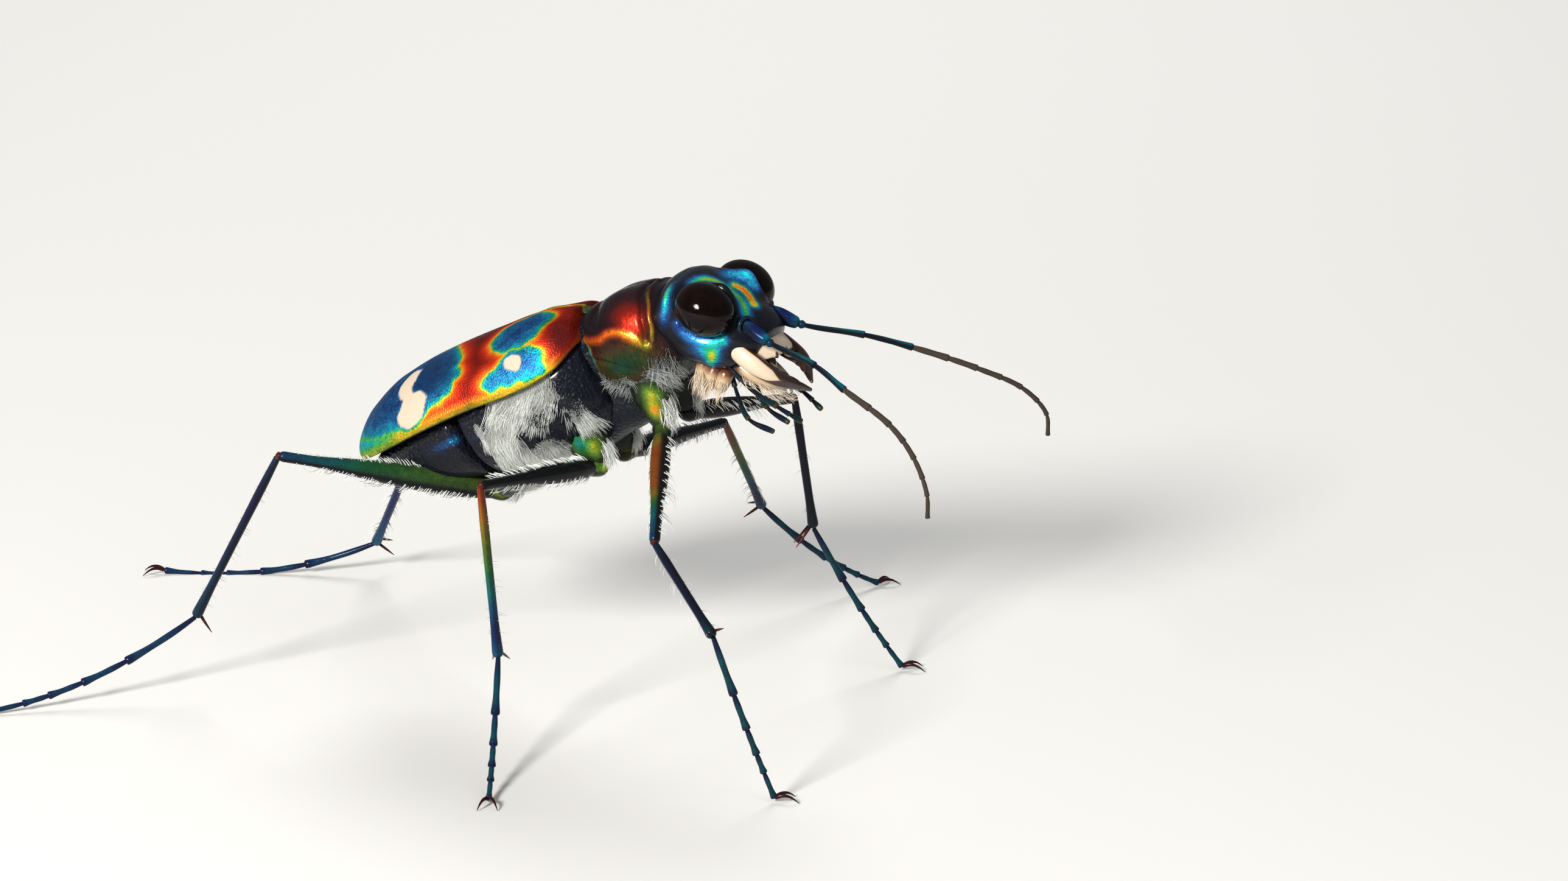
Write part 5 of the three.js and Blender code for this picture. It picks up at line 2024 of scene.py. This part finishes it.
@dataclass
class Trunk:
    """The thorax and abdomen under the wing cases, with the white hair on their sides."""

    waist: float = -5.10
    hair_thick: float = 0.019
    finish: Metal = Metal("belly skin", grain=0.13, grain_depth=0.055, flecks=0.04, coat=0.2)

    @property
    def skin(self) -> Skin:
        """The plain skin that the thorax is sculpted from."""
        return Skin(TRUNK, THORAX_BELLY, 2.4, 0.08)

    def _thorax(self) -> list[Surface]:
        """The thorax with the seams between its plates.

        Returns:
            The thorax, the neck, the breast and the plate between the wing cases.
        """
        belly = self.skin.sculpt(130, 200, tone=0.22, glow=0.012)
        front = [(-1.9, 2.3, -0.8), (-1.5, 2.4, -1.5), (-1.6, 2.1, -2.4), (-1.9, 1.4, -3.1)]
        back = [(-3.0, 2.7, -0.8), (-2.7, 2.6, -1.6), (-2.6, 2.4, -2.3), (-3.0, 1.7, -3.0)]
        strip = [(-2.6, 2.65, -1.0), (-3.6, 2.75, -1.15), (-4.6, 2.78, -1.2), (-5.3, 2.7, -1.2)]
        belly.press(both([
            Crease(front, 0.08, 0.10),
            Crease(back, 0.08, 0.10),
            Crease([(x, y, z - 0.25) for x, y, z in strip], 0.07, 0.08),
            Stroke((-1.0, 1.9, -1.5), (0.4, 0.6, 0.7), 0.08),
            Stroke((-2.2, 2.3, -1.7), (0.4, 0.6, 0.7), 0.08),
        ]))
        belly.tint(both([Stripe(strip, 0.10, (0.36, 0.30, 0.28), (0.3, 0.6, 0.3))]))
        neck = Skin(TRUNK, NECK, 2.2, 0.2).sculpt(30, 80, tone=0.22, glow=0.008)
        breast = Skin(TRUNK, BREAST, 2.2, 0.2).sculpt(40, 80, tone=0.3, glow=0.01)
        return [belly.surface(), neck.surface(), breast.surface(), self._scutellum()]

    @staticmethod
    def _scutellum() -> Surface:
        """The small three-cornered plate between the bases of the wing cases.

        Returns:
            The plate.
        """
        share = column(24)
        turn = turns(40)
        wide = 0.42 * (1.0 - share) ** 0.8 * np.minimum(1.0, 12.0 * share)
        tall = 0.16 * dome(2.0 * share - 1.0)
        x, y, z = 0.12 - 0.85 * share + 0 * turn, wide * np.cos(turn), 0.98 + 0.40 * share + tall * np.sin(turn)
        return Surface(TRUNK.world(np.stack([x, y, z], axis=-1)), paints(x.shape, tone=0.52, glow=0.12))

    def _abdomen(self) -> list[Surface]:
        """The abdomen with its rings.

        Returns:
            The abdomen.
        """
        grid = Skin(TRUNK, ABDOMEN_BELLY, 2.4, 0.08).grid(150, 200)
        grid[..., 0] = np.minimum(grid[..., 0], self.waist)
        belly = Sculpt(TRUNK, grid, tone=0.20, glow=0.012)
        seams = (
            (-6.3, 2.75, -2.75), (-7.3, 2.6, -2.6), (-8.2, 2.35, -2.35), (-9.0, 1.95, -2.0), (-9.7, 1.4, -1.7),
        )
        for place, wide, low in seams:
            turn = np.linspace(0.1, math.pi - 0.1, 9)
            line = [(place, wide * math.cos(t), -1.1 + (low + 1.1) * math.sin(t)) for t in turn]
            belly.press([Crease(line, 0.06, 0.06)])
        edge = [(-5.55, 2.78, -1.0), (-6.0, 2.76, -1.0), (-6.7, 2.7, -1.0)]
        belly.tint(both([Stripe(edge, 0.14, (0.36, 0.31, 0.26), (0.7, 0.5, 0.1))]))
        return [belly.surface()]

    def build(self, shop: Workshop) -> None:
        """Makes the thorax and the abdomen."""
        shop.piece("thorax_plates", self._thorax(), self.finish, "belly", ["pterothorax"])
        shop.piece("abdomen_rings", self._abdomen(), self.finish, "belly", ["abdomen"])

    def hair(self) -> list[list[Patch]]:
        """The white hair of the right side and of the left.

        Returns:
            For each side, its patches.
        """
        back, down = Lie(0.62, 0.78, rise=0.2, droop=0.12), Lie(0.08, 1.0, rise=0.18, droop=0.1)
        rows = (
            ((0.32, 0.74), (1.15, 1.76), back, 0.85, 1456, 11),
            ((0.66, 0.86), (1.5, 2.5), down, 0.75, 1456, 12),
            ((0.50, 0.90), (2.12, 2.8), down, 0.75, 1352, 16),
            ((0.24, 0.38), (1.82, 2.4), down, 0.85, 1248, 13),
        )
        return [growth(self.skin, side, rows, self.hair_thick, 0.2, 0.16) for side in Side]


@dataclass(frozen=True)
class LegPlan:
    """Where one pair of legs stands and how long its parts are, with each leg's turns and rises."""

    name: str
    hip: Point
    coxa: Point
    coxa_radii: tuple[float, ...]
    femur: float
    tibia: float
    tarsus: float
    thick: float
    stance: dict[Side, tuple[tuple[float, float], tuple[float, float], float]]
    femur_tone: Rule
    tibia_tone: Rule
    tarsus_tone: tuple[float, float]
    glows: tuple[float, float, float]
    # How much painted shade darkens the side of each limb turned away from the light.
    shade: float
    tuft: Point = (1.0, 0.2, 0.0)
    tuft_width: float = 0.5
    # The glow at the trochanter's middle, a painted glint.
    knob: float = 0.5
    # Painted glints on the coxa, highlights laid as colour: each a place and a tone.
    painted_glints: tuple[tuple[Point, float], ...] = ()
    # The direction of the side of each limb painted as lit.
    bright: Point = (-0.45, 0.8, 0.35)
    # A painted reflection: a brighter shank glow for the sides named, where light caught the shank.
    gleam: dict[Side, float] = field(default_factory=dict)


LEGS = (
    LegPlan(
        "front", (1.2, 1.0, -3.65), (1.6, 0.85, -1.2), (0.6, 0.74, 0.72, 0.5, 0.32), 5.1, 4.9, 6.2, 0.35,
        {Side.RIGHT: ((-68, -34), (-38, -24), 35), Side.LEFT: ((68, -6), (25, -82), 31)},
        stops((0, 0.5), (0.15, 0.6), (0.25, 0.74), (0.55, 0.72), (0.7, 0.45), (0.8, 0.36), (1, 0.27)),
        stops((0, 0.30), (0.3, 0.14), (0.8, 0.2), (1, 0.4)),
        (0.36, 0.12), (0.14, 0.04, 0.12), 0.97,
        # Then the coxa's tuft, its width, the trochanter's painted glint and the painted glints on the coxa.
        (1.0, 0.25, 0.0), 0.75, 0.1, (((1.65, 1.45, -2.5), 0.62), ((1.5, 1.5, -3.0), 0.70)),
    ),
    LegPlan(
        "middle", (-1.85, 0.95, -4.0), (-1.6, 1.0, -1.8), (0.6, 0.75, 0.72, 0.36), 6.1, 6.7, 6.4, 0.37,
        {Side.RIGHT: ((-105, 7), (94, -79), -66), Side.LEFT: ((80, -4), (99, -44), 57)},
        stops((0, 0.62), (0.15, 0.5), (0.6, 0.46), (0.85, 0.36), (1, 0.5)),
        stops((0, 0.84), (0.12, 0.72), (0.35, 0.55), (0.6, 0.40), (0.85, 0.16), (1, 0.36)),
        (0.34, 0.16), (0.04, 0.32, 0.12), 0.95,
        # Then the coxa's tuft, its width, the trochanter's painted glint and the painted glints on the coxa.
        (1.0, 0.2, 0.0), 0.45, 1.0, (((-1.3, 1.6, -3.3), 0.60), ((-1.7, 1.5, -2.95), 0.34)),
    ),
    LegPlan(
        "hind", (-5.95, 0.82, -3.4), (-3.9, 1.35, -2.6), (0.6, 0.72, 0.66, 0.5, 0.36), 8.1, 7.8, 8.1, 0.47,
        {Side.RIGHT: ((-142, 13), (170, -59), -135), Side.LEFT: ((149, -10), (132, -40), 205)},
        stops((0, 0.54), (0.3, 0.52), (0.6, 0.47), (0.85, 0.36), (1, 0.28)),
        stops((0, 0.3), (0.2, 0.14), (0.6, 0.2), (1, 0.33)),
        # The hind legs' lit side, and a painted reflection on the left shank only.
        (0.28, 0.12), (0.10, 0.08, 0.16), 0.98, bright=(0.0, 0.72, 0.69), gleam={Side.LEFT: 1.0},
    ),
)


@dataclass
class Leg:
    """One leg, from its coxa to its claws."""

    plan: LegPlan
    side: Side
    knee_reach: float = 0.1
    foot_height: float = 0.15
    solid_foot: float = 0.19
    shares: tuple[float, ...] = (0.34, 0.21, 0.16, 0.12, 0.17)
    sag: float = 0.14
    claw: float = 0.85
    claw_spread: float = math.radians(24)
    claw_arch: float = 0.28
    claw_height: float = 0.03
    finish: Metal = Metal("leg skin", grain=0.14, grain_depth=0.006, flecks=0.05, coat=0.1)

    def __post_init__(self) -> None:
        """Works out the joints."""
        plan = self.plan
        femur, tibia, turn = plan.stance[self.side]
        self.hip = TRUNK.world(mirrored(plan.hip, self.side))
        self.knee = self.hip + plan.femur * heading(*femur)
        self.ankle = self.knee + plan.tibia * heading(*tibia)
        rise = -math.degrees(math.asin((self.ankle[2] - self.solid_foot) / plan.tarsus))
        self.foot = self.ankle + plan.tarsus * heading(turn, rise)
        self.foot[2] = self.foot_height
        self.turn = math.atan2(self.foot[1] - self.ankle[1], self.foot[0] - self.ankle[0])

    @property
    def label(self) -> str:
        """The leg's name as its nodes carry it."""
        return f"{self.plan.name}_{self.side.word}"

    def thigh(self) -> Rod:
        """The femur, thickest before its middle.

        Returns:
            The limb.
        """
        thick = self.plan.thick
        wide = rule(0.62 * thick, 0.95 * thick, thick, 0.86 * thick, 0.66 * thick, 0.2, 0.19)
        return Rod(straight(self.hip, self.knee), wide)

    def shank(self) -> Rod:
        """The tibia, widening to its end."""
        return Rod(straight(self.knee, self.ankle), rule(0.12, 0.155, 0.15, 0.15, 0.155, 0.21))

    def haunch(self) -> Rod:
        """The coxa, from inside the trunk to the hip."""
        root = TRUNK.world(mirrored(self.plan.coxa, self.side))
        return Rod(straight(root, self.hip + 0.1 * unit(self.hip - root)), rule(*self.plan.coxa_radii))

    def _coxa(self) -> list[Surface]:
        """The coxa with the trochanter under it.

        Returns:
            The two parts.
        """
        points = self.haunch().surface(50, 56, always(0.0)).points
        upper = Sculpt(TRUNK, TRUNK.local(points), tone=0.52, glow=0.012)
        # Painted glints: bright highlights laid as colour on the coxa.
        for at, tone in self.plan.painted_glints:
            upper.tint([Tint(mirrored(at, self.side), (0.22, 0.28, 0.30), tone, 0.85, fringe=0.06)])
        toward = unit(self.knee - self.hip)
        knob = Rod(straight(self.hip - toward * 0.4, self.hip + toward * 0.75), rule(0.25, 0.36, 0.33, 0.25))
        tones = stops((0, 0.60), (0.6, 0.54), (1, 0.47))
        # The trochanter's middle glows as a painted glint, with painted shade on its side turned from the light.
        glows = stops((0, 0.02), (0.45, self.plan.knob), (1, 0.02))
        bright = mirrored((0.3, 0.8, 0.4), self.side)
        return [upper.surface(), knob.surface(24, 32, tones, glows, 0.95, bright)]

    def _foot(self) -> list[Surface]:
        """Five joints that flatten towards the floor.

        Returns:
            The joints from the ankle.
        """
        run = math.hypot(*(self.foot - self.ankle)[:2])
        bend = (self.ankle + self.foot) / 2 - np.array([0, 0, self.sag * run])
        path = bent(self.ankle, bend, self.foot)
        ends = np.cumsum([0.0, *self.shares])
        first, last = self.plan.tarsus_tone
        parts = []
        for index, (start, end) in enumerate(zip(ends, ends[1:])):
            slim = 0.115 - 0.006 * index
            wide = rule(slim * 0.7, slim, slim, slim * 1.5)
            tones = stops((0, last), (0.4, first), (0.85, first), (1, last))
            rod = Rod(part_of(path, max(start - 0.015, 0.0), end), wide, blunt=0.5)
            # Painted shade on the underside of each joint.
            parts.append(rod.surface(22, 20, tones, always(self.plan.glows[2]), 0.4))
        return parts

    def _claws(self) -> list[Surface]:
        """Two curved claws on the floor.

        Returns:
            The claws.
        """
        parts = []
        for hand in (-1, 1):
            turn = self.turn + hand * self.claw_spread
            out = np.array([math.cos(turn), math.sin(turn), 0.0])
            middle = self.foot + out * 0.5 * self.claw + np.array([0, 0, self.claw_arch])
            tip = self.foot + out * self.claw
            tip[2] = self.claw_height
            claw = Rod(bent(self.foot, middle, tip), rule(0.08, 0.065, 0.04, 0.012))
            parts.append(claw.surface(16, 12, fade(0.95, 0.98), fade(0.1, 0.04)))
        return parts

    def _spurs(self) -> list[Surface]:
        """The spurs at the end of the tibia.

        Returns:
            The spurs.
        """
        along = unit(self.ankle - self.knee)
        toward = unit(self.foot - self.ankle)
        away = -unit(toward - along * float(toward @ along))
        beside = np.cross(along, away)
        parts = []
        for hand in (-1, 1):
            root = self.ankle - along * 0.12 + away * 0.12 + beside * 0.12 * hand
            tip = self.ankle + along * 0.5 + away * 0.75 + beside * 0.3 * hand
            spur = Rod(straight(root, tip), rule(0.055, 0.045, 0.012))
            parts.append(spur.surface(10, 10, fade(0.95, 0.9), fade(0.05, 0.2)))
        return parts

    def build(self, shop: Workshop) -> None:
        """Makes the leg's four pieces.

        Args:
            shop: the workshop that makes the pieces.
        """
        plan = self.plan
        # outer is the direction of the side painted as lit; thigh and shank get painted shade on the side turned
        # away.
        outer = mirrored(plan.bright, self.side)
        thigh = self.thigh().surface(60, 40, plan.femur_tone, always(plan.glows[0]), plan.shade, outer)
        along = self.knee_reach * unit(self.knee - self.hip)
        # The knee: a small dot of red tone, its faint glow a painted glint.
        knee = Rod(straight(self.knee - along, self.knee + along), rule(0.15, 0.17, 0.15))
        dot = knee.surface(8, 20, always(0.8), always(0.06))
        # On the sides that the plan names, the shank's glow is a painted reflection.
        gleam = always(plan.gleam.get(self.side, plan.glows[1]))
        shank = self.shank().surface(60, 32, plan.tibia_tone, gleam, 0.7, outer)
        for part, surfaces in (
            ("coxa", self._coxa()),
            ("femur", [thigh, dot]),
            ("tibia", [shank, *self._spurs()]),
            ("tarsus", [*self._foot(), *self._claws()]),
        ):
            shop.piece(f"{self.label}_{part}", surfaces, self.finish, "leg", [f"{part}_{self.label}"])

    def _row(
        self, rod: Rod, sweep: Point, part: float, lie: Lie, length: float, thick: float, density: float,
        seed: int, spread: float = 0.22,
    ) -> Patch:
        """A row of bristles along a limb, between its outer face and where they sweep.

        Args:
            rod: the limb.
            sweep: the direction they sweep to.
            part: how far round towards it they're rooted, to 1.
            lie: how they stand, with their turn to the sweep as a positive number.
            length: how long they are.
            thick: how thick.
            density: how many to the square millimetre.
            seed: what their scatter starts from.
            spread: half of how far round the row spreads.

        Returns:
            The row.
        """
        face = rod.facing(mirrored((0.4, 0.87, 0.29), self.side))
        turn = (rod.facing(sweep) - face + math.pi) % TURN - math.pi
        place, way = face + part * turn, math.copysign(1.0, turn)
        turned = Lie(lie.along, lie.round * way, lie.rise, lie.droop)
        angles = (place - spread, place + spread)
        return Patch(rod, (0.1, 0.95), angles, turned, length, thick, density, seed, 0.05, 0.1)

    def hair(self) -> list[Patch]:
        """The rows of bristles on thigh and shank.

        Returns:
            The rows.
        """
        down, front, back = (0.0, 0.0, -1.0), (1.0, 0.0, 0.0), (-1.0, 0.0, 0.0)
        thigh, shank = self.thigh(), self.shank()
        comb, thorn = Lie(0.5, 1.0, rise=0.15, droop=0.1), Lie(0.7, 1.0, rise=0.6, droop=0.05)
        one, other = (front, back) if self.plan.name == "front" else (down, UP)
        return [
            self._row(thigh, one, 0.45, comb, 0.38, 0.044, 100, 31),
            self._row(thigh, one, 1.05, thorn, 0.56, 0.052, 36, 32, 0.1),
            self._row(thigh, other, 0.8, comb, 0.38, 0.042, 90, 33),
            self._row(shank, front, 0.9, thorn, 0.32, 0.03, 55, 36, 0.15),
            self._row(shank, back, 0.9, thorn, 0.32, 0.03, 55, 37, 0.15),
        ]

    def coxa_hair(self) -> list[Patch]:
        """The white tuft on the outer face of the coxa.

        Returns:
            Its patch.
        """
        haunch = self.haunch()
        middle, wide = haunch.facing(mirrored(self.plan.tuft, self.side)), self.plan.tuft_width
        angles, lie = (middle - wide, middle + wide), Lie(1.0, 0.1, rise=0.3, droop=0.1)
        return [Patch(haunch, (0.5, 0.92), angles, lie, 0.62, 0.02, 700, 51, 0.3)]


@dataclass
class Studio:
    """The floor, the lights and the camera at the photo's angle."""

    target: Point = (10.095, -0.962, 10.057)
    distance: float = 200.0
    turn: float = 25.0
    rise: float = 17.0
    lens: float = 132.2
    sensor: float = 36.0
    clip: tuple[float, float] = (0.01, 10.0)
    floor_size: float = 1500.0
    floor_color: Point = (0.50, 0.49, 0.47)
    aim: Point = (0.0, 0.0, 9.0)
    sky: Point = (0.86, 0.90, 0.96)
    sky_strength: float = 0.22

    def _floor(self) -> None:
        """A large pale floor."""
        bench = Bench("floor")
        half = self.floor_size * MM / 2
        mesh = bpy.data.meshes.new("floor")
        corners = [(-half, -half, 0), (half, -half, 0), (half, half, 0), (-half, half, 0)]
        mesh.from_pydata(corners, [], [(0, 1, 2, 3)])
        mesh.materials.append(bench.done(Base_Color=(*self.floor_color, 1.0), Roughness=0.85))
        made = bpy.data.objects.new("floor", mesh)
        bpy.context.scene.collection.objects.link(made)

    def _light(self, name: str, place: Point, size: float, power: float, color: Point, crisp: bool) -> None:
        """A soft, round light that looks at the beetle.

        Args:
            name: its name.
            place: where it is.
            size: how wide it is.
            power: its power in watts.
            color: its colour.
            crisp: whether it shows in reflections.
        """
        data = bpy.data.lights.new(name, "AREA")
        data.shape, data.size, data.energy, data.color = "DISK", size * MM, power, color
        made = bpy.data.objects.new(name, data)
        made.location = Vector(place) * MM
        aim = Vector(self.aim) * MM - made.location
        made.rotation_euler = aim.to_track_quat("-Z", "Y").to_euler()
        made.visible_glossy = crisp
        bpy.context.scene.collection.objects.link(made)

    def _camera(self) -> None:
        """The camera, level with the photo's."""
        turn, rise = math.radians(self.turn), math.radians(self.rise)
        back = Vector((math.cos(rise) * math.sin(turn), -math.cos(rise) * math.cos(turn), math.sin(rise)))
        data = bpy.data.cameras.new("camera")
        data.lens, data.sensor_width = self.lens, self.sensor
        data.clip_start, data.clip_end = self.clip
        made = bpy.data.objects.new("camera", data)
        made.location = (Vector(self.target) + back * self.distance) * MM
        made.rotation_euler = (-back).to_track_quat("-Z", "Y").to_euler()
        bpy.context.scene.collection.objects.link(made)
        bpy.context.scene.camera = made

    def build(self) -> None:
        """Sets the stage."""
        self._floor()
        self._light("key", (-30, -225, 130), 60, 1.4, (1.0, 0.98, 0.95), True)
        self._light("fill", (200, -110, 170), 220, 0.34, (0.95, 0.98, 1.0), False)
        self._light("rim", (-60, 150, 170), 120, 0.45, (1.0, 1.0, 1.0), False)
        world = bpy.data.worlds.new("studio")
        world.use_nodes = True
        sky = world.node_tree.nodes["Background"]
        sky.inputs["Color"].default_value = (*self.sky, 1.0)
        sky.inputs["Strength"].default_value = self.sky_strength
        bpy.context.scene.world = world
        bpy.context.scene.view_settings.view_transform = "Standard"
        self._camera()


def main() -> None:
    """Loads the frame, builds every piece around it and keeps the sizes."""
    logging.basicConfig(level=logging.INFO, format="%(name)s: %(message)s")
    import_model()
    shop = Workshop()
    mouth, trunk = Mouth(), Trunk()
    legs = [Leg(plan, side) for plan in LEGS for side in Side]
    shield = Prothorax()
    WingCases().build(shop)
    shield.build(shop)
    Head().build(shop)
    mouth.build(shop)
    Feelers().build(shop)
    trunk.build(shop)
    for leg in legs:
        leg.build(shop)
    white = Hair("white hair")
    for side, patches in zip(Side, trunk.hair()):
        shop.coat(f"side_hair_{side.word}_upper", patches[:1], white, "belly")
        shop.coat(f"side_hair_{side.word}_lower", patches[1:], white, "belly")
    grey = Hair("grey hair", (0.12, 0.13, 0.125), (0.34, 0.36, 0.34))
    shop.coat("shield_hair", shield.hair(), grey, "shell")
    for leg in legs:
        shop.coat(f"coxa_hair_{leg.label}", leg.coxa_hair(), white, "leg")
        shop.coat(f"leg_bristles_{leg.label}", leg.hair(), white, "leg")
    pale = Hair("cream bristle", (0.34, 0.26, 0.17), (0.60, 0.50, 0.38))
    shop.coat("mouth_bristles", mouth.bristles(), pale, "feeler")
    Studio().build()
    LOG.info("%d pieces", len(shop.names))


if __name__ == "__main__":
    main()
